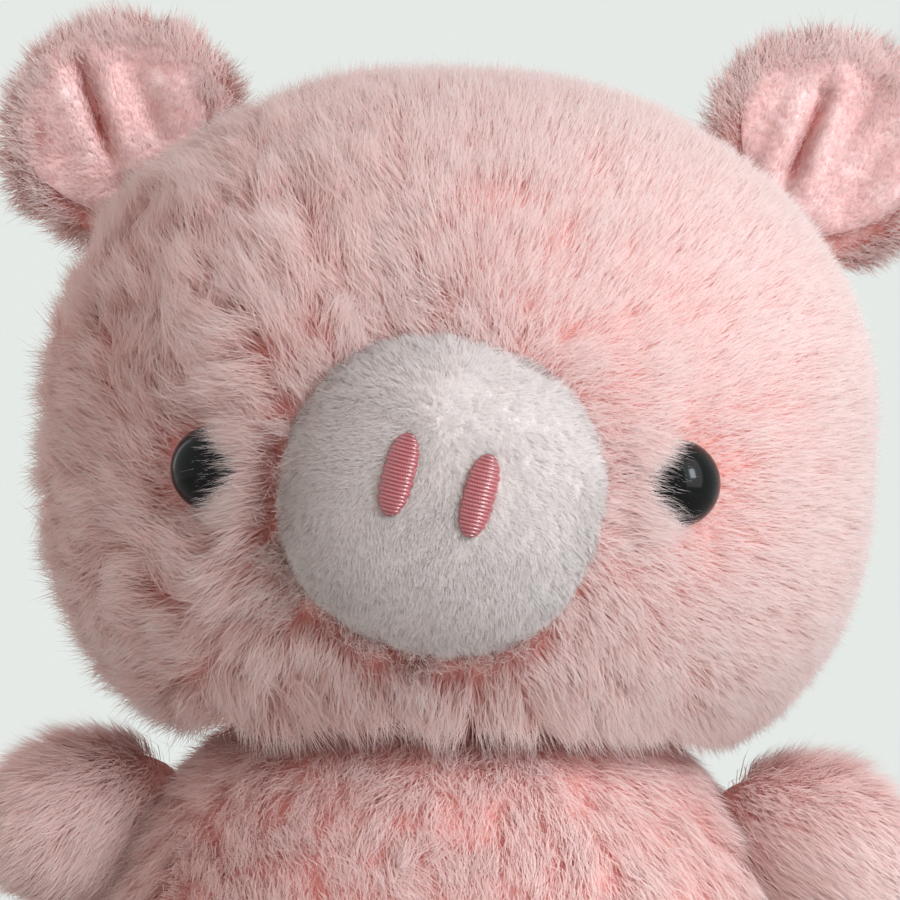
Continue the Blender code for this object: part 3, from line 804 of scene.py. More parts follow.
class Coat(ABC):
    """A form with a pile on it."""

    form: Form
    pile: Pile

    @abstractmethod
    def comb(self, roots: Array, normals: Array) -> Array:
        """The way that the pile is combed at each root, before it is laid along the surface."""

    def cover(self, roots: Array, ways: Array) -> Array:
        """How thickly the pile grows, from 0 to 1."""
        return np.ones(len(roots))

    def reach(self, roots: Array) -> Array:
        """The strands' length at each root, as a share of the full length."""
        return np.ones(len(roots))

    def unrest(self, roots: Array) -> Array:
        """How ruffled the pile is at each root, from 0 for smooth to 1 or more."""
        return np.ones(len(roots))

    def lay(self, roots: Array) -> Array:
        """How far the strands lean at each root, as a share of the full lean."""
        return np.ones(len(roots))

    def breadth(self, roots: Array) -> Array:
        """The strands' width at each root, as a share of the full width."""
        return np.ones(len(roots))

    def _roots(self, rng: np.random.Generator) -> tuple[Array, Array]:
        """Roots spread evenly over the form: random directions, kept in proportion to their area.

        Args:
            rng: The random numbers.

        Returns:
            Roots and normals, one a lock.
        """
        wanted = self.pile.strands // self.pile.per_lock
        kept_roots, kept_normals, found = [], [], 0
        while found < wanted:
            ways = unit(rng.normal(size=(3 * wanted, 3)))
            roots = self.form.points(ways, -self.pile.inset)
            normals, area = self.form.facing(ways, -self.pile.inset)
            chance = area / area.max() * self.cover(roots, ways)
            keep = rng.uniform(size=len(ways)) < chance
            kept_roots.append(roots[keep])
            kept_normals.append(normals[keep])
            found += int(keep.sum())
        return np.concatenate(kept_roots)[:wanted], np.concatenate(kept_normals)[:wanted]

    def _tufts(self, roots: Array, rng: np.random.Generator) -> Array:
        """The number of each root's tuft: the nearest of some roots that are picked at random."""
        spread = np.ptp(roots, axis=0)
        area = math.pi / 3 * (spread[0] * spread[1] + spread[1] * spread[2] + spread[2] * spread[0])
        count = int(np.clip(area / self.pile.tuft_size**2, 12, len(roots) // 4))
        centres = roots[rng.choice(len(roots), count, replace=False)]
        nearest = [
            ((part[:, None, :] - centres) ** 2).sum(axis=2).argmin(axis=1)
            for part in np.array_split(roots, max(1, len(roots) // 2000))
        ]
        return np.concatenate(nearest)

    def grow(self) -> "Strands":
        """Grows the pile. Each strand is a curve of three control points: its root, a point that stands up
        from it, and a tip that leans the way it is combed and is pulled to its lock's and its tuft's tip.

        Returns:
            The strands.
        """
        pile = self.pile
        rng = np.random.default_rng(pile.seed)
        roots, normals = self._roots(rng)
        tuft = self._tufts(roots, rng)
        tufts = int(tuft.max()) + 1
        ruffle = self.unrest(roots)
        comb = along_surface(self.comb(roots, normals), normals)
        stir = Ripples(pile.swirl_size, pile.seed).at(roots) * pile.swirl
        stir += rng.normal(0, pile.tuft_turn, tufts)[tuft]
        stir = stir * ruffle + rng.normal(0, pile.lock_turn, len(roots)) * (0.5 + 0.5 * ruffle)
        comb = turned(comb, normals, stir)
        lean = pile.lean * self.lay(roots) + ruffle * rng.normal(0, pile.lean_spread, tufts)[tuft]
        lean = np.clip(lean + rng.normal(0, pile.lock_lean, len(roots)), *pile.lean_limits)[:, None]
        uneven = pile.tuft_length * ruffle * rng.normal(0, 1, tufts)[tuft]
        length = pile.length * self.reach(roots) * (1 + uneven)
        length = (length * rng.uniform(0.88, 1.06, len(roots)))[:, None]
        tips = roots + length * (np.cos(lean) * normals + np.sin(lean) * comb)
        crowd = np.bincount(tuft, minlength=tufts)[:, None]
        gathered = np.stack([np.bincount(tuft, tips[:, axis], tufts) for axis in range(3)], axis=1)
        pull = (pile.tuft_pull * ruffle * rng.uniform(0.5, 1.5, len(roots)))[:, None]
        tips += (gathered / np.maximum(crowd, 1))[tuft] * pull - tips * pull
        stand = roots + 0.55 * length * (np.cos(0.35 * lean) * normals + np.sin(0.35 * lean) * comb)
        tone = pile.tuft_tone * ruffle * rng.normal(0, 1, tufts)[tuft]
        tone += rng.normal(0, pile.lock_tone, len(roots))
        guides = Guides(roots, stand, tips, comb, normals, tone, ruffle, self.breadth(roots))
        return guides.strands(pile, rng)


@dataclass(frozen=True)
class Guides:
    """One curve a lock: its root, its middle control point and its tip, and how its strands behave."""

    roots: Array
    stand: Array
    tips: Array
    comb: Array
    normals: Array
    tone: Array
    ruffle: Array
    breadth: Array

    # Shares of the length by which strands leave their lock where it is calm, and more where it is wild
    STRAY = (0.07, 0.09)
    BEND = (0.05, 0.08)

    def strands(self, pile: Pile, rng: np.random.Generator) -> "Strands":
        """Spreads each lock into its strands and bends each one along its curve.

        Args:
            pile: How the pile grows.
            rng: The random numbers.

        Returns:
            The strands.
        """
        lock = np.repeat(np.arange(len(self.roots)), pile.per_lock)
        count = len(lock)
        side = np.cross(self.normals, self.comb)
        wild = np.clip(self.ruffle, 0, 1)[lock][:, None]
        shift = pile.lock_spread * (2.0 - wild) * rng.normal(size=(count, 2))
        offset = shift[:, :1] * side[lock] + shift[:, 1:] * self.comb[lock]
        stray = (self.STRAY[0] + self.STRAY[1] * wild) * pile.length * rng.normal(size=(count, 3))
        bend = (self.BEND[0] + self.BEND[1] * wild) * pile.length * rng.normal(size=(count, 3))
        pull = pile.lock_pull * (0.1 + 0.9 * wild)
        start = self.roots[lock] + offset
        middle = self.stand[lock] + offset * (1 - 0.4 * pull) + bend
        end = self.tips[lock] + offset * (1 - pull) + stray
        end = start + (end - start) * rng.uniform(0.8, 1.06, (count, 1))
        level = np.array(pile.levels)[None, :, None]
        curve = (1 - level) ** 2 * start[:, None] + 2 * level * (1 - level) * middle[:, None]
        curve += level**2 * end[:, None]
        ahead = unit(end - start)
        flat = unit(np.cross(ahead, self.normals[lock]))
        flat = turned(flat, ahead, rng.normal(0, pile.twist, count))
        half = 0.5 * pile.width * self.breadth[lock][:, None] * rng.uniform(0.75, 1.25, (count, 1))
        tone = np.clip(pile.tone + self.tone[lock] + rng.normal(0, pile.strand_tone, count), 0, 1)
        return Strands(curve, flat * half, self.normals[lock], tone, pile)


@dataclass(frozen=True)
class Strands:
    """Curved flat strands that taper to a point."""

    curve: Array
    half: Array
    normals: Array
    tone: Array
    pile: Pile

    MOST = 64_000
    SOFTNESS = 0.84

    def pieces(self, name: str) -> list[bpy.types.Object]:
        """Builds the strands as one piece, or as several from right to left where there are many.

        Args:
            name: The piece's name, to which a number is added where there are several.

        Returns:
            The pieces.
        """
        count = max(1, math.ceil(len(self.curve) / self.MOST))
        if count == 1:
            return [self._build(name, np.arange(len(self.curve)))]
        parts = np.array_split(np.argsort(self.curve[:, 0, 0]), count)
        return [self._build(f"{name}_{number}", part) for number, part in enumerate(parts, 1)]

    def _build(self, name: str, chosen: Array) -> bpy.types.Object:
        """One piece: a ribbon of two edge points at each level, which meet in one point at the tip."""
        curve, half, tone = self.curve[chosen], self.half[chosen], self.tone[chosen]
        taper = np.array(self.pile.taper)[None, :, None]
        body = curve[:, :-1]
        left = body - half[:, None] * taper
        right = body + half[:, None] * taper
        edges = np.stack((left, right), axis=2).reshape(len(curve), -1, 3)
        points = np.concatenate((edges, curve[:, -1:]), axis=1)
        per = points.shape[1]
        first = per * np.arange(len(curve))[:, None, None]
        rungs = 2 * np.arange(len(self.pile.taper) - 1)[:, None] + np.array((0, 1, 3, 2))
        quads = (first + rungs).reshape(-1, 4)
        triangles = (first[:, :, 0] + np.array((per - 3, per - 2, per - 1))).reshape(-1, 3)
        piece = Sheet(points.reshape(-1, 3), quads, triangles).build(name)
        self._soften(piece.data, chosen, per)
        levels = np.array(self.pile.levels)
        along = np.append(np.repeat(levels[:-1], 2), 1.0)
        across = np.append(np.tile((-1.0, 1.0), len(levels) - 1), 0.0)
        along = np.tile(along, len(curve))
        across = np.tile(across, len(curve))
        tone = np.repeat(tone, per)
        mark(piece.data, "along", along)
        mark(piece.data, "tone", tone)
        spread = np.stack((0.02 + 0.96 * tone + 0.012 * across, 0.01 + 0.98 * along), axis=1)
        unwrap(piece.data, "OFBake", np.clip(spread, 0, 1))
        return piece

    def _soften(self, mesh: bpy.types.Mesh, chosen: Array, per: int) -> None:
        """Turns the shading normals most of the way to the cloth's own, as a dense pile catches light."""
        corner = np.empty(len(mesh.loops) * 3, np.float32)
        mesh.corner_normals.foreach_get("vector", corner)
        cloth = np.repeat(self.normals[chosen], per, axis=0)[corner_points(mesh)]
        own = corner.reshape(-1, 3)
        own = own * np.sign(dots(own, cloth))
        mesh.normals_split_custom_set(unit((1 - self.SOFTNESS) * own + self.SOFTNESS * cloth))


# Sub-assemblies


class Finish(Enum):
    """The finishes of this pig: the record's slot that each fills, and how it is made."""

    PLUSH = (
        "plush",
        # The deep salmon root is partly the plush's own two-tone and partly painted light, for light
        # scattered into the shaded gaps
        PileFinish("pink_pile", (0.95, 0.38, 0.34), (0.96, 0.69, 0.66), (0.97, 0.91, 0.90)),
    )
    BACKING = ("plush", BackingFinish("pink_backing", (0.90, 0.44, 0.40), (0.95, 0.60, 0.56)))
    WHITE_PILE = (
        "velour_white",
        PileFinish(
            "white_pile",
            (0.80, 0.73, 0.71),
            (0.85, 0.80, 0.79),
            (0.90, 0.87, 0.87),
            variation=0.10,
            sheen=0.3,
        ),
    )
    WHITE_BACKING = (
        "velour_white",
        BackingFinish("white_backing", (0.72, 0.66, 0.64), (0.78, 0.73, 0.72), grain=0.7 * MM),
    )
    LINING_PILE = (
        "velour_pink",
        PileFinish(
            "lining_pile",
            (0.92, 0.56, 0.55),
            (0.95, 0.74, 0.73),
            (0.96, 0.87, 0.87),
            variation=0.10,
            sheen=0.4,
        ),
    )
    LINING = ("velour_pink", SatinVelour("pink_lining", (0.90, 0.60, 0.59), (0.95, 0.76, 0.75)))
    # The thread's own rose, with painted shade towards the dark colour and painted highlight towards the
    # bright one
    THREAD = ("satin", StitchThread("rose_thread", (0.36, 0.03, 0.05), (0.70, 0.14, 0.17)))
    SEAM = ("thread", BackingFinish("seam_thread", (0.60, 0.30, 0.30), (0.75, 0.45, 0.45), 0.4 * MM))
    FIBRE = ("fibre", BackingFinish("filling_fibre", (0.78, 0.78, 0.76), (0.92, 0.92, 0.90), 1.6 * MM))
    COTTON = ("pellets", BackingFinish("pellet_cotton", (0.68, 0.64, 0.56), (0.80, 0.77, 0.70), 0.6 * MM))
    EYE = ("eye", EyePlastic("black_eye_plastic"))
    WASHER = ("washer", MouldedPlastic("washer_plastic", (0.82, 0.82, 0.80)))


class Dresser:
    """Puts finished pieces on their bodies and hides the solids that they stand for."""

    def __init__(self) -> None:
        """Makes each finish once."""
        self.materials = {}
        self.slots = {}
        for finish in Finish:
            self.slots[finish], recipe = finish.value
            self.materials[finish] = recipe.material()

    def put_on(
        self,
        piece: bpy.types.Object,
        body: str,
        finish: Finish,
        node: str,
    ) -> None:
        """Dresses one piece.

        Args:
            piece: The piece, with its place in its mesh.
            body: The body that it rides on.
            finish: What it is made of.
            node: The solid that it stands for.
        """
        piece.data.materials.append(self.materials[finish])
        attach(piece, body)
        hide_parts(node)
        LOG.info("%s rides on %s: %d faces", piece.name, body, len(piece.data.polygons))


@dataclass
class Stuffing:
    """A lump of fibre or a pellet bag that fills a form."""

    name: str
    form: Form
    inset: float
    body: str
    finish: Finish = Finish.FIBRE
    lump: float = 0.35 * MM
    lump_size: float = 9 * MM
    lump_seed: int = 5
    grid: tuple[int, int] = (28, 40)
    fill: float = 0.8

    def dress(self, dresser: Dresser) -> None:
        """Builds the lump: the form drawn in, with soft ripples that only go inwards."""
        globe = Globe(*self.grid)
        ways = globe.ways()
        points = self.form.points(ways, -self.inset)
        normals, _ = self.form.facing(ways, -self.inset)
        ripple = Ripples(self.lump_size, self.lump_seed).at(points)
        points -= normals * (self.lump * (1 + np.tanh(ripple)))[:, None]
        piece = globe.sheet(points).build(f"{self.name}_lump")
        dresser.put_on(piece, self.body, self.finish, self.name)


@dataclass(frozen=True)
class Cloth:
    """What a form's backing and pile are called and made of, and whether its grid has its poles in front."""

    backing_name: str = "backing"
    backing: Finish = Finish.BACKING
    pile_name: str = "pile"
    pile: Finish = Finish.PLUSH
    fill: float = 0.85
    faces_front: bool = False


@dataclass
class PlushForm(Coat):
    """A stuffed plush form: its backing cloth, and the pile that grows on it."""

    name: str
    form: Form
    pile: Pile
    body: str
    node: str
    grid: tuple[int, int] = (72, 108)
    cloth: Cloth = Cloth()
    ruffle: float = 1.0

    def comb(self, roots: Array, normals: Array) -> Array:
        """Downwards, unless a form knows better."""
        return np.broadcast_to(DOWN, roots.shape)

    def unrest(self, roots: Array) -> Array:
        """The same all over, unless a form knows better."""
        return np.full(len(roots), self.ruffle)

    def backing(self) -> bpy.types.Object:
        """Builds the cloth that the pile grows from."""
        globe = Globe(*self.grid)
        points = self.form.points(self.ways(), -self.pile.inset)
        return globe.sheet(points).build(f"{self.name}_{self.cloth.backing_name}")

    def ways(self) -> Array:
        """The backing grid's directions, turned where its poles are in front and behind."""
        ways = Globe(*self.grid).ways()
        return ways[:, (0, 2, 1)] * (1, -1, 1) if self.cloth.faces_front else ways

    def dress(self, dresser: Dresser) -> None:
        """Builds the backing and the pile on it."""
        dresser.put_on(self.backing(), self.body, self.cloth.backing, self.node)
        self.dress_pile(dresser, f"{self.name}_{self.cloth.pile_name}")

    def dress_pile(self, dresser: Dresser, name: str) -> None:
        """Builds the pile under a name."""
        for piece in self.grow().pieces(name):
            dresser.put_on(piece, self.body, self.cloth.pile, self.node)


@dataclass(frozen=True)
class EyePlace:
    """Where an eye sits on the head."""

    centre: Array
    outward: Array
    inner: Ramp = Ramp(2 * MM, 6 * MM)

    # What counts as far from an eye
    FAR = 100 * MM

    @classmethod
    def on(cls, side: Side) -> "EyePlace":
        """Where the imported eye's node meets the head's surface, and the way that the surface faces."""
        low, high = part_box(f"eye_{side.word}")
        middle = (np.array(low) + np.array(high)) / 2
        head = HeadForm()
        ways = unit((middle - HEAD_CENTRE)[None, :] / np.array(head.half))
        normals, _ = head.facing(ways)
        return cls(head.points(ways)[0], normals[0])

    def inward(self, roots: Array) -> Array:
        """How far roots are from the eye's middle towards the snout."""
        return (self.centre[0] - roots[:, 0]) * np.sign(self.centre[0])

    def inner_side(self, roots: Array) -> Array:
        """1 for roots on the side that faces the snout, and 0 on the other."""
        return self.inner.rise(self.inward(roots))

    def distance(self, roots: Array) -> Array:
        """How far roots on the face are from the eye's axis. Roots behind count as far from it."""
        apart = roots - self.centre
        distance = np.linalg.norm(apart - dots(apart, self.outward) * self.outward, axis=1)
        return np.where(roots[:, 1] < 0, distance, self.FAR)


@dataclass
class Head(PlushForm):
    """The head, whose pile is combed away from the snout and lies short round the eyes."""

    name: str = "head"
    form: Form = field(default_factory=HeadForm)
    pile: Pile = field(
        default_factory=lambda: Pile(strands=295_000, length=8.0 * MM, width=0.14 * MM, inset=4 * MM, seed=11)
    )
    body: str = "head"
    node: str = "head_skin"
    grid: tuple[int, int] = (96, 144)
    eye_clear: float = 7.4 * MM
    eye_overlap: float = 0.6 * MM
    snout_overlap: float = 2.5 * MM
    neck_gap: float = 1.5 * MM

    # Along x, from the pig's left to its right
    cheek: Ramp = Ramp(-18 * MM, 30 * MM)
    chin_right: Ramp = Ramp(-50 * MM, -10 * MM)

    # Along y, from the face to the back
    turning_down: Ramp = Ramp(-10 * MM, 35 * MM)
    calming: Ramp = Ramp(-5 * MM, 15 * MM)
    behind: Ramp = Ramp(0, 15 * MM)

    # Along z, upwards
    jaw: Ramp = Ramp(104 * MM, 125 * MM)
    lower_edge: Ramp = Ramp(104 * MM, 116 * MM)
    droop: Ramp = Ramp(104 * MM, 122 * MM)
    chin: Ramp = Ramp(-140 * MM, -115 * MM)
    crown: Ramp = Ramp(180 * MM, 215 * MM)

    # Away from the snout's middle
    snout_rough: Ramp = Ramp(24 * MM, 42 * MM)
    snout_stand: Ramp = Ramp(24 * MM, 36 * MM)
    snout_hug: Ramp = Ramp(25 * MM, 31 * MM)
    hug_way: tuple[float, float, float] = (-0.55, 0.0, -0.83)
    hug_turn: Ramp = Ramp(-0.1, 0.5)

    # Away from an eye's axis
    eye_calm: Ramp = Ramp(7 * MM, 12 * MM)
    eye_lean: Ramp = Ramp(8 * MM, 13 * MM)
    eye_dip: Ramp = Ramp(7.4 * MM, 15 * MM)

    def __post_init__(self) -> None:
        """Looks up the eyes."""
        self.eyes = [EyePlace.on(side) for side in Side]

    def comb(self, roots: Array, normals: Array) -> Array:
        """Away from the snout, towards it where strands lean on it, and down at the back and the jaw."""
        away = along_surface(roots - SNOUT_CENTRE, normals)
        behind = self.turning_down.rise(roots[:, 1])[:, None]
        low = self.jaw.fall(roots[:, 2])[:, None]
        away = away * (1 - 1.7 * self._hugging(roots)[:, None]) * (1 - behind)
        return away + 1.2 * (behind + low) * DOWN

    def _hugging(self, roots: Array) -> Array:
        """1 close to the snout, below it and on the pig's right, where strands lean on it, and else 0."""
        apart = (roots - SNOUT_CENTRE) * (1, 0, 1)
        way = unit(apart) @ unit(np.array(self.hug_way))
        near = self.snout_hug.fall(np.linalg.norm(apart, axis=1))
        return near * self.hug_turn.rise(way) * (roots[:, 1] < 0)

    def unrest(self, roots: Array) -> Array:
        """Smooth on the pig's left and on top, and ruffled on its right cheek and round its snout."""
        cheek = self.cheek.rise(-roots[:, 0])
        crown = self.crown.rise(roots[:, 2])
        chin = self.chin.rise(-roots[:, 2]) * self.chin_right.rise(-roots[:, 0])
        snout = self.snout_rough.fall(np.linalg.norm(roots - SNOUT_CENTRE, axis=1))
        rough = 0.12 + 0.93 * np.maximum.reduce((cheek * (1 - 0.5 * crown), 0.9 * chin, 0.7 * snout))
        for eye in self.eyes:
            rough *= 1 - 0.75 * self.eye_calm.fall(eye.distance(roots))
        edge = self.lower_edge.fall(roots[:, 2])
        return rough * (1 - 0.6 * edge) * (1 - 0.75 * self.calming.rise(roots[:, 1]))

    def lay(self, roots: Array) -> Array:
        """Standing up where the pile is smooth and round the snout, and beside the eyes to fall over them."""
        share = 0.6 + 0.4 * np.clip(1.3 * self.unrest(roots) - 0.25, 0, 1)
        share -= 0.3 * self.snout_stand.fall(np.linalg.norm(roots - SNOUT_CENTRE, axis=1))
        for eye in self.eyes:
            near = self.eye_lean.fall(eye.distance(roots))
            share += (0.7 - share) * near * eye.inner_side(roots)
        share -= 0.25 * self._hugging(roots)
        return np.maximum(share, 0.2)

    def breadth(self, roots: Array) -> Array:
        """Broader behind, where the strands grow less densely."""
        return 1 + 0.9 * self.behind.rise(roots[:, 1])

    def cover(self, roots: Array, ways: Array) -> Array:
        """Bare inside the neck's cup, under the snout and under the eyes, and thinner behind."""
        neck = np.linalg.norm(roots - NECK_PIVOT, axis=1) > NECK_CUP + self.pile.inset + self.neck_gap
        snout = SnoutForm()
        local = snout.local(roots) / (np.array(snout.half) - self.snout_overlap)
        clear = (np.abs(local) ** 2.2).sum(axis=1) > 1
        for eye in self.eyes:
            clear &= eye.distance(roots) > self.eye_clear - self.eye_overlap * eye.inner_side(roots)
        return (neck & clear) * (1 - 0.60 * self.behind.rise(roots[:, 1]))

    def reach(self, roots: Array) -> Array:
        """Shorter round the eyes, but not on their inner sides, where the pile falls over them."""
        share = 0.62 + 0.38 * Ramp(0.6, 1.0).rise(self.lay(roots))
        share += 0.22 * self.droop.fall(roots[:, 2]) + 0.45 * self._hugging(roots)
        for eye in self.eyes:
            dip = 0.5 + 0.5 * self.eye_dip.rise(eye.distance(roots))
            share = share * np.maximum(dip, 1.1 * eye.inner_side(roots))
        return share


@dataclass
class EyeFringe(Head):
    """The strands between the snout and each eye that fall over the eye's inner side."""

    name: str = "eye_fringe"
    pile: Pile = field(
        default_factory=lambda: Pile(
            strands=7_000,
            length=9.4 * MM,
            width=0.13 * MM,
            inset=4 * MM,
            seed=13,
            lean=math.radians(40),
            per_lock=6,
            tone=0.32,
        )
    )
    near: float = 7.4 * MM
    far: float = 9.4 * MM
    half_height: float = 6.6 * MM
    ruffle: float = 0.25
    shortest: float = 0.4
    longest: float = 0.95

    def cover(self, roots: Array, ways: Array) -> Array:
        """Only in a short band beside each eye, on the side of the snout."""
        grown = np.zeros(len(roots), bool)
        for eye in self.eyes:
            inward = eye.inward(roots)
            level = np.abs(roots[:, 2] - eye.centre[2])
            band = (inward > 1 * MM) & (inward < self.far) & (level < self.half_height)
            grown |= band & (eye.distance(roots) > self.near) & (roots[:, 1] < 0)
        return grown.astype(float)

    def unrest(self, roots: Array) -> Array:
        """Nearly even, so that the fringe has no gaps."""
        return np.full(len(roots), self.ruffle)

    def lay(self, roots: Array) -> Array:
        """One lean for all."""
        return np.ones(len(roots))

    def comb(self, roots: Array, normals: Array) -> Array:
        """Outward across the face, over the eyes."""
        return np.sign(roots[:, :1]) * np.array((1.0, 0.0, 0.0)) + 0.15 * DOWN

    def reach(self, roots: Array) -> Array:
        """Longest far from the eye halfway up it, and shorter nearer, so that the fringe ends in one line."""
        share = np.ones(len(roots))
        for eye in self.eyes:
            length = np.clip(0.22 + 0.077 * eye.inward(roots) / MM, self.shortest, self.longest)
            share = np.where(eye.distance(roots) < 2 * self.far, length, share)
        return share

    def dress(self, dresser: Dresser) -> None:
        """Only the strands: the head's own backing carries them."""
        self.dress_pile(dresser, self.name)


@dataclass
class Torso(PlushForm):
    """The body, combed down and outward, and bare where the head and the seat press on it."""

    name: str = "torso"
    form: Form = field(default_factory=TorsoForm)
    pile: Pile = field(
        default_factory=lambda: Pile(
            strands=115_000,
            length=7.6 * MM,
            width=0.15 * MM,
            inset=4 * MM,
            seed=23,
            lock_pull=0.4,
            tuft_pull=0.22,
        )
    )
    body: str = "torso"
    node: str = "torso_skin"
    neck_line: float = 108 * MM
    seat_line: float = 7 * MM
    behind: Ramp = Ramp(0, 15 * MM)
    belly: Ramp = Ramp(40 * MM, 58 * MM)
    right: Ramp = Ramp(-40 * MM, 20 * MM)
    neck: Ramp = Ramp(-104 * MM, -92 * MM)
    table: Ramp = Ramp(5 * MM, 20 * MM)

    # How fast the comb turns outward and forward, for each metre from the middle
    outward: tuple[float, float, float] = (20 / 3, 2.0, 0.0)

    def comb(self, roots: Array, normals: Array) -> Array:
        """Down the body, and outward a little from its middle."""
        return DOWN + roots * self.outward

    def cover(self, roots: Array, ways: Array) -> Array:
        """Bare above the neck's crease and under the seat, and thickest in front above the legs."""
        grown = (roots[:, 2] < self.neck_line) & (roots[:, 2] > self.seat_line)
        return grown * (1 - 0.64 * self._away(roots))

    def _away(self, roots: Array) -> Array:
        """1 behind and low down, and 0 on the chest and the belly."""
        return np.maximum(self.behind.rise(roots[:, 1]), self.belly.fall(roots[:, 2]))

    def breadth(self, roots: Array) -> Array:
        """Broader where the strands grow less densely."""
        return 1 + self._away(roots)

    def unrest(self, roots: Array) -> Array:
        """Ruffled on the pig's right, and less so on its left."""
        rough = 0.3 + 0.5 * self.right.rise(-roots[:, 0])
        return rough * (1 - 0.7 * self._away(roots))

    def reach(self, roots: Array) -> Array:
        """Shorter at the neck and near the table, which presses it flat."""
        at_neck = 0.8 + 0.2 * self.neck.rise(-roots[:, 2])
        at_table = 0.45 + 0.55 * self.table.rise(roots[:, 2])
        return np.minimum(at_neck, at_table)


@dataclass
class Limb(PlushForm):
    """An arm or a leg, combed towards its tip."""

    grid: tuple[int, int] = (40, 56)
    ruffle: float = 0.3
    tip_turn: float = 0.45
    seam: Ramp = Ramp(0, 8 * MM)
    table: Ramp = Ramp(3 * MM, 10 * MM)
    top: Ramp = Ramp(0, 10 * MM)
    raised: Ramp = Ramp(60 * MM, 80 * MM)
    tip_gap: float = 2.5 * MM
    root_gap: float = 5 * MM
    filling_inset: float = 7.0 * MM

    def comb(self, roots: Array, normals: Array) -> Array:
        """Towards the tip, and down a little."""
        return self.form.axes[:, 2] + self.tip_turn * DOWN

    def cover(self, roots: Array, ways: Array) -> Array:
        """Bare at the root, which lies in the seam."""
        return (self.form.local(roots)[:, 2] > -1 * MM).astype(float)

    def _on_top(self, roots: Array) -> Array:
        """1 on the upper side of a raised limb, and else 0."""
        return self.top.rise((roots - self.form.origin)[:, 2]) * self.raised.rise(roots[:, 2])

    def reach(self, roots: Array) -> Array:
        """Shorter at the seam and underneath, near the table, and longer on top of a raised limb."""
        seam = 0.55 + 0.45 * self.seam.rise(self.form.local(roots)[:, 2])
        return seam * (0.5 + 0.5 * self.table.rise(roots[:, 2])) + 0.5 * self._on_top(roots)

    def lay(self, roots: Array) -> Array:
        """Standing up more on top of a raised limb and at its tip."""
        tip = Ramp(1.2 * self.form.half_length, 1.6 * self.form.half_length)
        return 1 - 0.35 * self._on_top(roots) - 0.4 * tip.rise(self.form.local(roots)[:, 2])

    def dress(self, dresser: Dresser) -> None:
        """Builds the backing, the pile and the filling."""
        super().dress(dresser)
        form = self.form
        inner = LimbForm(
            form.origin, form.axes, form.radius, form.half_length - self.tip_gap, form.root - self.root_gap
        )
        Stuffing(f"{self.name}_filling", inner, self.filling_inset, self.body).dress(dresser)


@dataclass
class Ear(PlushForm):
    """The back and the rim of an ear, combed from its base outward."""

    grid: tuple[int, int] = (48, 72)
    ruffle: float = 0.5
    lining_margin: float = 5.5 * MM
    root_gap: float = 0.5 * MM
    comb_base: float = 6 * MM
    standing: Ramp = Ramp(-1 * MM, 2 * MM)
    back: Ramp = Ramp(-6 * MM, 0)
    middle: Ramp = Ramp(0.6, 0.8)

    def lay(self, roots: Array) -> Array:
        """Strands stand up on the front, round the lining."""
        return 0.45 + 0.55 * self.standing.rise(self.form.local(roots)[:, 1])

    def comb(self, roots: Array, normals: Array) -> Array:
        """Away from the base, and over the rim."""
        return roots - (self.form.origin - self.comb_base * self.form.axes[:, 2])

    def cover(self, roots: Array, ways: Array) -> Array:
        """Bare where the lining lies and at the root, and thinner behind."""
        local = self.form.local(roots)
        wide = local[:, 0] / (self.form.half_width - self.lining_margin)
        middle = self.form.half_height - self.form.root
        high = (local[:, 2] - middle) / (self.form.half_height - self.lining_margin)
        lined = (wide**2 + high**2 < 1) & (ways[:, 1] < 0)
        return (~lined & (local[:, 2] > self.root_gap)) * (1 - 0.6 * self._behind(roots))

    def _behind(self, roots: Array) -> Array:
        """1 on the back of the ear, and 0 on its rim."""
        wide, _, high = self.form.local(roots).T
        wide = wide / self.form.half_width
        high = (high - self.form.half_height + self.form.root) / self.form.half_height
        back = self.back.rise(roots[:, 1] - self.form.origin[1])
        return back * self.middle.fall(np.hypot(wide, high))

    def breadth(self, roots: Array) -> Array:
        """Broader where the strands grow less densely."""
        return 1 + 0.7 * self._behind(roots)


@dataclass(frozen=True)
class Fold:
    """A pinch in an ear's lining, from one place to another in mm from the ear's middle."""

    start: tuple[float, float]
    end: tuple[float, float]
    width: float = 1.3 * MM
    depth: float = 2.6 * MM
    # How strong the painted shade in the fold's crease is, from 0 to 1
    dark: float = 1.0


@dataclass(frozen=True)
class LiningForm(EarForm):
    """The front of an ear's lining, with the folds that its pinched base throws."""

    folds: tuple[Fold, ...] = ()
    front: Ramp = Ramp(0.05, 0.5)

    def _along(self, fold: Fold, local: Array) -> tuple[Array, Array]:
        """How far places are from a fold's line in its widths, and how strong the fold is beside them."""
        middle = self.half_height - self.root + self.rise
        start = np.array(fold.start) * MM + (0, middle)
        run = np.array(fold.end) * MM + (0, middle) - start
        place = local[:, (0, 2)] - start
        share = np.clip(place @ run / (run @ run), 0, 1)
        gap = np.linalg.norm(place - share[:, None] * run, axis=1) / fold.width
        return gap, np.sin(np.pi * (0.1 + 0.85 * share)) ** 0.6

    def shape(self, ways: Array, growth: float) -> Array:
        """The plain lining, in which each fold is a valley between two swellings."""
        local = super().shape(ways, growth)
        front = self.front.rise(-ways[:, 1])
        for fold in self.folds:
            gap, swell = self._along(fold, local)
            valley = np.exp(-(gap**2)) * swell
            pleat = np.exp(-(((gap - 2.6) / 1.7) ** 2)) * swell
            local[:, 1] += front * (valley - 0.5 * pleat) * fold.depth
        return local

    def crease(self, ways: Array) -> Array:
        """How deep in a fold each place lies, from 0 to 1, weighted by each fold's painted shade."""
        local = super().shape(ways, 0.0)
        deep = np.zeros(len(ways))
        for fold in self.folds:
            gap, swell = self._along(fold, local)
            deep = np.maximum(deep, fold.dark * np.exp(-((gap * 1.2) ** 2)) * swell)
        return deep * self.front.rise(-ways[:, 1])


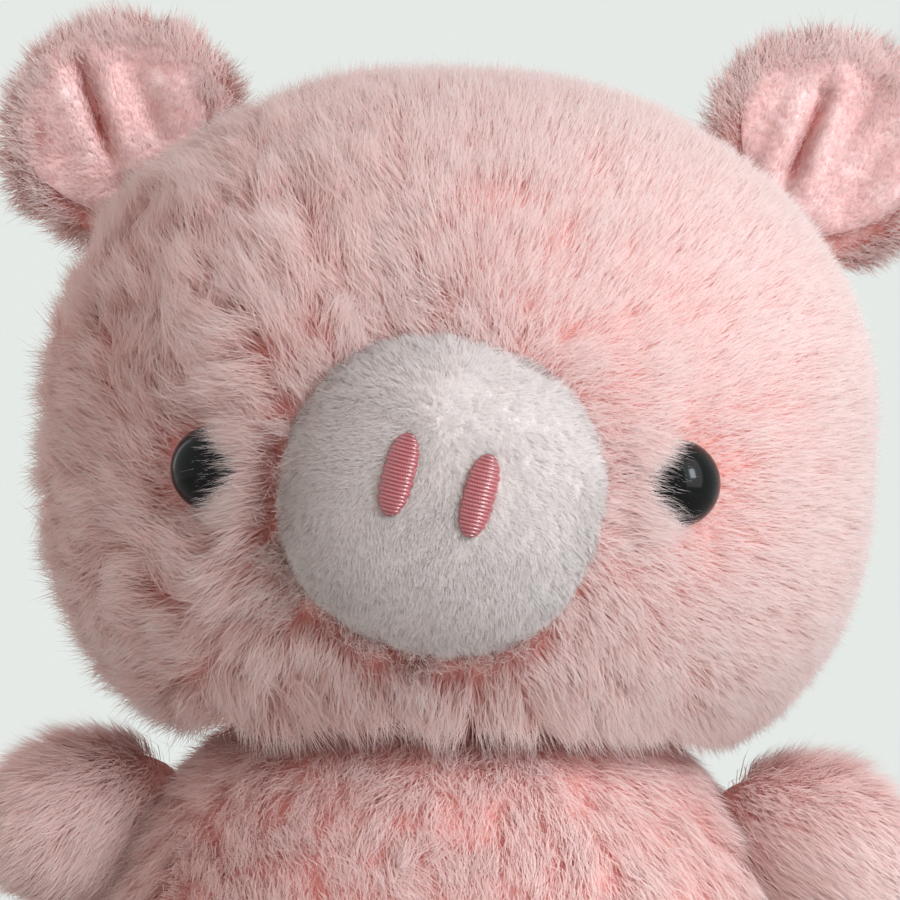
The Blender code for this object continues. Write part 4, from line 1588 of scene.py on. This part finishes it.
@dataclass
class EarLining(PlushForm):
    """The velour that lines an ear, and its short nap."""

    grid: tuple[int, int] = (64, 96)
    ruffle: float = 0.5
    cloth: Cloth = Cloth("velour", Finish.LINING, "nap", Finish.LINING_PILE, fill=0.3, faces_front=True)

    def comb(self, roots: Array, normals: Array) -> Array:
        """Away from the ear's base."""
        return roots - (self.form.origin - 4 * MM * self.form.axes[:, 2])

    def cover(self, roots: Array, ways: Array) -> Array:
        """Bare at the back and down in the folds."""
        return (ways[:, 1] < 0.1) * (1 - 0.9 * self.form.crease(ways))

    def backing(self) -> bpy.types.Object:
        """Builds the cloth, and marks how deep in a fold each point lies, for the painted shade in the folds.
        """
        velour = super().backing()
        # The crease attribute sets the painted shade in the folds
        mark(velour.data, "crease", np.clip(self.form.crease(self.ways()), 0, 0.9))
        return velour


@dataclass
class Snout(PlushForm):
    """The velour snout: a dome with a short nap."""

    name: str = "snout"
    form: Form = field(default_factory=SnoutForm)
    pile: Pile = field(
        default_factory=lambda: Pile(
            strands=64_000,
            length=1.7 * MM,
            width=0.095 * MM,
            inset=0.8 * MM,
            seed=31,
            lean=math.radians(56),
            per_lock=5,
            lock_spread=0.35 * MM,
            lock_pull=0.2,
            tuft_size=3.2 * MM,
            tuft_pull=0.08,
            tuft_turn=math.radians(10),
            swirl=math.radians(24),
            swirl_size=14 * MM,
            twist=math.radians(12),
            levels=(0.0, 0.5, 1.0),
            taper=(1.0, 0.8),
        )
    )
    body: str = "head"
    node: str = "snout_cover"
    grid: tuple[int, int] = (72, 96)
    cloth: Cloth = Cloth("backing", Finish.WHITE_BACKING, "nap", Finish.WHITE_PILE, faces_front=True)
    edge: Ramp = Ramp(0.80, 0.96)

    def comb(self, roots: Array, normals: Array) -> Array:
        """Outward from the middle, and down."""
        return unit(roots - self.form.origin) * (1, 0, 1) + 0.6 * DOWN

    def cover(self, roots: Array, ways: Array) -> Array:
        """Bare at the back, where the face covers it."""
        return (ways[:, 1] < 0.15).astype(float)

    def _rim(self, roots: Array) -> Array:
        """1 at the edge of the dome, and 0 on its front."""
        local = self.form.local(roots) / np.array(self.form.half)
        return self.edge.rise(np.linalg.norm(local[:, (0, 2)], axis=1))

    def reach(self, roots: Array) -> Array:
        """A little longer at the edge, where the nap blurs the outline."""
        return 1 + 0.25 * self._rim(roots)

    def lay(self, roots: Array) -> Array:
        """Standing up at the edge."""
        return 1 - 0.3 * self._rim(roots)

    def unrest(self, roots: Array) -> Array:
        """Even, and a little rougher at the edge."""
        return 0.7 + 0.2 * self._rim(roots)


@dataclass
class Nostril:
    """A nostril in satin stitch: threads side by side across a slim oval, over a low dome."""

    side: Side
    half_width: float = 2.5 * MM
    half_height: float = 6.6 * MM
    spread: float = 6.4 * MM
    rise: float = 1.6 * MM
    threads: int = 22
    thread_rise: float = 0.26 * MM
    dome: float = 1.1 * MM

    def dress(self, dresser: Dresser) -> None:
        """Builds the pad: the snout's surface, raised by a dome and by one round ridge a thread, with painted
        shade marked between the threads.
        """
        snout = SnoutForm()
        up_count, across_count = 8 * self.threads + 1, 28
        up = np.linspace(-1, 1, up_count)
        across = np.linspace(-1, 1, across_count)
        up, across = np.meshgrid(up, across, indexing="ij")
        ripple = np.abs(np.sin(np.pi * self.threads * (up + 1) / 2)) ** 0.7
        ragged = 1 + 0.05 * np.sin(2.4 * np.floor(self.threads * (up + 1) / 2 + 1e-6) + self.side.value)
        oval = np.sqrt(np.clip(1 - np.abs(up) ** 3.0, 0.05, 1)) * ragged
        x = self.side.value * self.spread + across * oval * self.half_width
        z = self.rise + up * self.half_height
        wide, deep, high = snout.half
        inside = np.abs(x / wide) ** snout.power + np.abs(z / high) ** snout.power
        front = -deep * (1 - inside) ** (1 / snout.power)
        edge = np.sqrt(np.clip(1 - across**2, 0, 1))
        lift = (self.dome * edge * np.sqrt(np.clip(1 - up**2, 0, 1)) + self.thread_rise * ripple * edge**0.5)
        top = np.stack((x, front - lift - 0.1 * MM, z), axis=-1)
        bottom = np.stack((x, front + 0.9 * MM, z), axis=-1)
        points = np.concatenate((top.reshape(-1, 3), bottom.reshape(-1, 3)))
        piece = self._closed(points @ snout.axes.T + snout.origin, up_count, across_count)
        flat = np.stack((across.ravel(), self.threads * up.ravel() / 2), axis=1)
        unwrap(piece.data, "thread", np.concatenate((flat, flat)))
        # Painted shade: darker in the gaps between thread ridges, stored as the gap attribute
        gap = np.clip(1.1 - 1.5 * ripple, 0, 0.95) * edge**0.5
        mark(piece.data, "gap", np.concatenate((gap.ravel(), np.zeros(gap.size))))
        dresser.put_on(piece, "head", Finish.THREAD, f"nostril_{self.side.word}")

    def _closed(self, points: Array, rows: int, columns: int) -> bpy.types.Object:
        """Joins a top grid and a bottom grid of points into one closed pad."""
        grid = np.arange(rows * columns).reshape(rows, columns)
        under = grid + rows * columns
        top = np.stack((grid[:-1, :-1], grid[:-1, 1:], grid[1:, 1:], grid[1:, :-1]), axis=-1)
        bottom = np.stack((under[:-1, :-1], under[1:, :-1], under[1:, 1:], under[:-1, 1:]), axis=-1)
        rim = np.concatenate((grid[0, :-1], grid[:-1, -1], grid[-1, :0:-1], grid[:0:-1, 0]))
        after = np.roll(rim, -1)
        wall = np.stack((rim, rim + rows * columns, after + rows * columns, after), axis=-1)
        quads = np.concatenate((top.reshape(-1, 4), bottom.reshape(-1, 4), wall))
        return Sheet(points, quads, np.empty((0, 3), int)).build(f"nostril_{self.side.word}_stitches")


@dataclass
class Eye:
    """A glossy plastic dome on a shank."""

    side: Side
    radius: float = 7.0 * MM
    dome: float = 5.8 * MM
    rim: float = 1.2 * MM
    sink: float = 3.5 * MM
    shank_radius: float = 2.2 * MM
    shank_length: float = 10.0 * MM

    def dress(self, dresser: Dresser) -> None:
        """Turns the eye's profile: a dome, a rounded rim, a flat back and a shank."""
        place = EyePlace.on(self.side)
        ball = (self.radius**2 + self.dome**2) / (2 * self.dome)
        angle = np.linspace(0, math.asin(self.radius / ball), 22)
        dome = np.stack((ball * np.sin(angle), self.rim + self.dome - ball * (1 - np.cos(angle))), axis=1)
        back = np.array(
            (
                (self.radius, 0.5 * self.rim),
                (self.radius - 0.3 * MM, 0.0),
                (self.shank_radius + 0.4 * MM, 0.0),
                (self.shank_radius, -0.4 * MM),
                (self.shank_radius, self.rim - self.shank_length + 0.4 * MM),
                (self.shank_radius - 0.4 * MM, self.rim - self.shank_length),
                (0.0, self.rim - self.shank_length),
            )
        )
        axes = frame_axes(place.outward, (0, 0, 1))
        origin = place.centre - self.sink * place.outward
        piece = lathe(np.concatenate((dome, back)), 72, origin, axes).build(f"eye_{self.side.word}_dome")
        dresser.put_on(piece, "head", Finish.EYE, f"eye_{self.side.word}")
        washer = bpy.data.objects[f"eye_washer_{self.side.word}"]
        washer.material_slots[0].material = dresser.materials[Finish.WASHER]


@dataclass
class NeckSeam:
    """Overcast sewing thread round the neck's opening."""

    ring: float = 23.0 * MM
    stitches: int = 44
    thread: float = 0.28 * MM
    wander: float = 0.2 * MM
    seam_radius: float = 62.5 * MM

    def dress(self, dresser: Dresser) -> None:
        """A tube on a ring that winds round itself once a stitch, and closes where it began."""
        height = math.sqrt(self.seam_radius**2 - self.ring**2)
        turn = np.linspace(0, 2 * np.pi, 12 * self.stitches)
        swing = self.stitches * turn
        radius = self.ring + self.wander * np.cos(swing)
        level = height + self.wander * np.sin(swing)
        path = np.stack((radius * np.cos(turn), radius * np.sin(turn), level), axis=1)
        piece = tube(path + NECK_PIVOT, np.full(len(path), self.thread), 6).build("neck_seam_stitches")
        dresser.put_on(piece, "neck", Finish.SEAM, "neck_seam_thread")


@dataclass(frozen=True)
class TailForm(Form):
    """The tail's curl: a round tube along a helix that widens as it leaves the body."""

    turns: float = 1.25
    curl: float = 6.0 * MM
    length: float = 19 * MM
    thickness: float = 2.6 * MM
    widening: float = 0.4

    # How far ahead along the tube its direction is measured
    STEP = 1e-4

    def _middle(self, share: Array) -> Array:
        """The tube's middle at shares of its length. The curl widens up to the widening share."""
        angle = 2 * math.pi * self.turns * share
        radius = self.curl * np.minimum(1, share / self.widening) ** 2
        return np.stack((radius * np.sin(angle), radius * (1 - np.cos(angle)), self.length * share), axis=1)

    def shape(self, ways: Array, growth: float) -> Array:
        """Turns come from a direction's angle, and places along the tube from its height."""
        share = np.arccos(np.clip(ways[:, 2], -1, 1)) / math.pi
        round_angle = np.arctan2(ways[:, 1], ways[:, 0])
        middle = self._middle(share)
        ahead = unit(self._middle(share + self.STEP) - middle)
        first = unit(np.cross(ahead, OFF_AXIS))
        second = np.cross(ahead, first)
        thick = (self.thickness + growth) * np.sqrt(np.clip(1 - (2 * share - 1) ** 16, 0, 1))
        ring = np.cos(round_angle)[:, None] * first + np.sin(round_angle)[:, None] * second
        return middle + ring * thick[:, None]


@dataclass
class Tail(PlushForm):
    """The curled tail, with a short pile."""

    grid: tuple[int, int] = (64, 20)


@dataclass
class Studio:
    """The camera at the photograph's angle, soft lights, a pale floor and a pale world."""

    target: tuple[float, float, float] = (-1.6 * MM, 0.0, 153.8 * MM)
    distance: float = 0.527
    lens: float = 120.0
    side_turn: float = math.radians(3.0)
    roll: float = math.radians(1.8)
    backdrop: Colour = (0.785, 0.825, 0.80)
    ambient: Colour = (0.98, 0.83, 0.77)
    ambient_strength: float = 0.50
    floor_radius: float = 0.46
    floor_shades: tuple[float, float] = (0.80, 0.82)

    def camera(self) -> None:
        """A level camera, turned a little to the pig's left and rolled with the photograph."""
        data = bpy.data.cameras.new("photo_camera")
        data.lens = self.lens
        data.clip_start = 0.01
        camera = bpy.data.objects.new("photo_camera", data)
        bpy.context.scene.collection.objects.link(camera)
        back = Vector((math.sin(self.side_turn), -math.cos(self.side_turn), 0))
        place = Vector(self.target) + self.distance * back
        turn = back.to_track_quat("Z", "Y").to_matrix().to_4x4()
        camera.matrix_world = Matrix.Translation(place) @ turn @ Matrix.Rotation(self.roll, 4, "Z")
        bpy.context.scene.camera = camera

    def lamp(
        self,
        name: str,
        place: tuple[float, float, float],
        size: tuple[float, float],
        power: float,
        colour: Colour = (1.0, 1.0, 1.0),
    ) -> None:
        """A rectangular soft light that faces the target."""
        data = bpy.data.lights.new(name, "AREA")
        data.shape = "RECTANGLE"
        data.size, data.size_y = size
        data.energy = power
        data.color = colour
        lamp = bpy.data.objects.new(name, data)
        bpy.context.scene.collection.objects.link(lamp)
        towards = Vector(place) - Vector(self.target)
        turn = towards.to_track_quat("Z", "Y").to_matrix().to_4x4()
        lamp.matrix_world = Matrix.Translation(place) @ turn

    def world(self) -> None:
        """A soft warm surround, which the camera and glossy surfaces see as a pale backdrop."""
        world = bpy.data.worlds.new("pale_room")
        world.use_nodes = True
        bpy.context.scene.world = world
        tree = world.node_tree
        background = tree.nodes["Background"]
        background.inputs["Color"].default_value = (*self.ambient, 1)
        background.inputs["Strength"].default_value = self.ambient_strength
        shown = tree.nodes.new("ShaderNodeBackground")
        shown.inputs["Color"].default_value = (*self.backdrop, 1)
        rays = tree.nodes.new("ShaderNodeLightPath")
        mixer = tree.nodes.new("ShaderNodeMixShader")
        seen = rays.outputs["Is Camera Ray"]
        for kind in ("Is Glossy Ray", "Is Transmission Ray"):
            joined = tree.nodes.new("ShaderNodeMath")
            joined.operation = "MAXIMUM"
            tree.links.new(seen, joined.inputs[0])
            tree.links.new(rays.outputs[kind], joined.inputs[1])
            seen = joined.outputs[0]
        tree.links.new(seen, mixer.inputs["Fac"])
        tree.links.new(background.outputs[0], mixer.inputs[1])
        tree.links.new(shown.outputs[0], mixer.inputs[2])
        tree.links.new(mixer.outputs[0], tree.nodes["World Output"].inputs["Surface"])

    def floor(self) -> None:
        """A round pale floor under the pig."""
        angles = 2 * np.pi * np.arange(96) / 96
        rim = np.stack((np.cos(angles), np.sin(angles), np.zeros(96)), axis=1) * self.floor_radius
        points = np.concatenate((rim, np.zeros((1, 3))))
        here = np.arange(96)
        fan = np.stack((here, (here + 1) % 96, np.full(96, 96)), axis=1)
        floor = Sheet(points, np.empty((0, 4), int), fan).build("floor")
        book = MaterialBook("pale_floor")
        grain = book.noise(40 * MM, 2)
        pale, paler = (tuple(shade * part for part in self.backdrop) for shade in self.floor_shades)
        floor.data.materials.append(book.shade(Base_Color=book.mix(grain, pale, paler), Roughness=0.7))

    def build(self) -> None:
        """Sets the whole studio."""
        self.camera()
        self.lamp("window_light", (0.70, -0.65, 0.60), (0.9, 1.3), 6.6)
        self.lamp("window_pane", (0.66, -0.68, 0.58), (0.24, 0.38), 5.0, (0.82, 0.94, 1.0))
        self.lamp("far_window", (-0.60, 0.75, 0.55), (1.0, 1.0), 3.5)
        self.world()
        self.floor()
        bpy.context.scene.view_settings.view_transform = "Standard"
        LOG.info("studio is set")


class Joints:
    """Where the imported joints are."""

    def __init__(self, frame: dict) -> None:
        """Keeps the record's joints by name."""
        self.rows = {joint["name"]: joint for joint in frame["record"]["behaviour"]["joints"]}

    def place(self, name: str) -> tuple[Array, Array]:
        """A joint's pivot and axis."""
        joint = self.rows[name]
        return np.array(joint["pos_m"], float), np.array(joint["axis"], float)


@dataclass(frozen=True)
class LimbPlan:
    """What a kind of limb has on both sides: its joint's motion, its way, its sizes and its strands."""

    kind: str
    motion: str
    forward: float
    down: float
    radius: float
    half_length: float
    root: float
    strands: int

    def build(self, side: Side, joints: Joints) -> Limb:
        """The limb of one side, placed at its joint."""
        name = f"{self.kind}_{side.word}"
        pivot, axis = joints.place(f"{name}_{self.motion}")
        level = math.cos(self.down)
        out = side.of((level * math.cos(self.forward), -level * math.sin(self.forward), -math.sin(self.down)))
        form = LimbForm(pivot, frame_axes(out, axis), self.radius, self.half_length, self.root)
        pile = Pile(
            strands=self.strands,
            length=6.8 * MM,
            width=0.16 * MM,
            inset=3.8 * MM,
            seed=40 + side.value,
            lock_pull=0.35,
            tuft_pull=0.2,
            twist=math.radians(14),
        )
        return Limb(name=name, form=form, pile=pile, body=name, node=f"{name}_skin")


LIMBS = (
    LimbPlan("arm", "swing", math.radians(18), math.radians(14), 14.6 * MM, 20.0 * MM, 11.0 * MM, 27_000),
    LimbPlan("leg", "lift", math.radians(73), 0.0, 16.0 * MM, 25.5 * MM, 11.5 * MM, 15_000),
)

# Folds of each ear's lining; each fold's dark sets the painted shade in its crease
EAR_FOLDS = {
    Side.LEFT: (
        Fold((-5.3, 6.5), (-3.5, -12.0), width=1.5 * MM, depth=3.0 * MM, dark=0.8),
        Fold((2.5, 12.0), (1.0, -6.0), width=2.4 * MM, depth=1.3 * MM, dark=0.2),
        Fold((9.0, 4.0), (7.0, -9.0), width=2.4 * MM, depth=1.1 * MM, dark=0.1),
    ),
    Side.RIGHT: (
        Fold((-1.6, 13.0), (-3.6, -5.5), width=1.5 * MM, depth=3.2 * MM),
        Fold((6.5, 5.0), (5.5, -6.0), width=2.4 * MM, depth=1.3 * MM, dark=0.2),
        Fold((-4.5, -10.0), (0.0, -15.0), width=2.0 * MM, depth=2.2 * MM, dark=0.35),
        Fold((-13.0, 7.0), (-15.5, 0.0), width=1.6 * MM, depth=1.2 * MM, dark=0.3),
    ),
}


@dataclass
class WholeEar:
    """One ear: its plush back and its folded lining, both on the ear's joint."""

    side: Side
    joints: Joints
    outward: float = math.radians(27)

    def dress(self, dresser: Dresser) -> None:
        """Places the ear at its joint and builds its back and its lining."""
        word = self.side.word
        body = f"ear_{word}"
        pivot, axis = self.joints.place(f"{body}_fold")
        axes = frame_axes(self.side.of((math.sin(self.outward), 0, math.cos(self.outward))), axis)
        pile = Pile(
            strands=22_000,
            length=6.5 * MM,
            width=0.15 * MM,
            inset=2.6 * MM,
            seed=60 + self.side.value,
            lean=math.radians(50),
            tuft_size=6 * MM,
            lock_pull=0.35,
            tuft_pull=0.2,
        )
        back = Ear(name=body, form=EarForm(pivot, axes), pile=pile, body=body, node=f"ear_back_{word}")
        back.dress(dresser)
        lining = LiningForm(
            pivot,
            axes,
            margin=4.5 * MM,
            half_thickness=1.9 * MM,
            forward=3.2 * MM,
            rise=3.2 * MM,
            folds=EAR_FOLDS[self.side],
        )
        nap = Pile(
            strands=8_000,
            length=1.6 * MM,
            width=0.14 * MM,
            inset=0.3 * MM,
            seed=80 + self.side.value,
            per_lock=5,
            lock_spread=0.4 * MM,
            lock_pull=0.2,
            tuft_size=4 * MM,
            tuft_pull=0.1,
            tuft_turn=math.radians(12),
            twist=math.radians(12),
        )
        name = f"ear_lining_{word}"
        EarLining(name=name, form=lining, pile=nap, body=body, node=name).dress(dresser)


def tail(joints: Joints) -> Tail:
    """The tail, curling out behind its joint."""
    pivot, _ = joints.place("tail_wag")
    pile = Pile(
        strands=6_000,
        length=3.2 * MM,
        width=0.22 * MM,
        inset=0.9 * MM,
        seed=71,
        tuft_size=4 * MM,
        lean=math.radians(55),
        lock_spread=0.5 * MM,
        tuft_pull=0.1,
        lock_pull=0.3,
    )
    form = TailForm(pivot, frame_axes((0, 1, 0), (0, 0, 1)))
    return Tail(name="tail", form=form, pile=pile, body="tail", node="tail")


def main() -> None:
    """Builds and dresses every piece."""
    logging.basicConfig(level=logging.INFO, format="%(message)s")
    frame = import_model()
    joints = Joints(frame)
    dresser = Dresser()
    Studio().build()

    for part in (Head(), EyeFringe(), Torso(), Snout()):
        part.dress(dresser)
    for side in Side:
        for plan in LIMBS:
            plan.build(side, joints).dress(dresser)
    for side in Side:
        Eye(side).dress(dresser)
        Nostril(side).dress(dresser)
        WholeEar(side, joints).dress(dresser)
    bag = EarForm(np.array((0, 0, 6.0)) * MM, np.eye(3), 0, 26 * MM, 0, 0, 26 * MM, 9 * MM, 0, 0, 0)
    for filling in (
        Stuffing("head_filling", HeadForm(), 7.0 * MM, "head"),
        Stuffing("torso_filling", TorsoForm(), 7.0 * MM, "torso"),
        Stuffing("snout_filling", SnoutForm(), 2.6 * MM, "head"),
        Stuffing("pellet_bag", bag, 0.4 * MM, "torso", Finish.COTTON),
    ):
        filling.dress(dresser)
    NeckSeam().dress(dresser)
    tail(joints).dress(dresser)


if __name__ == "__main__":
    main()
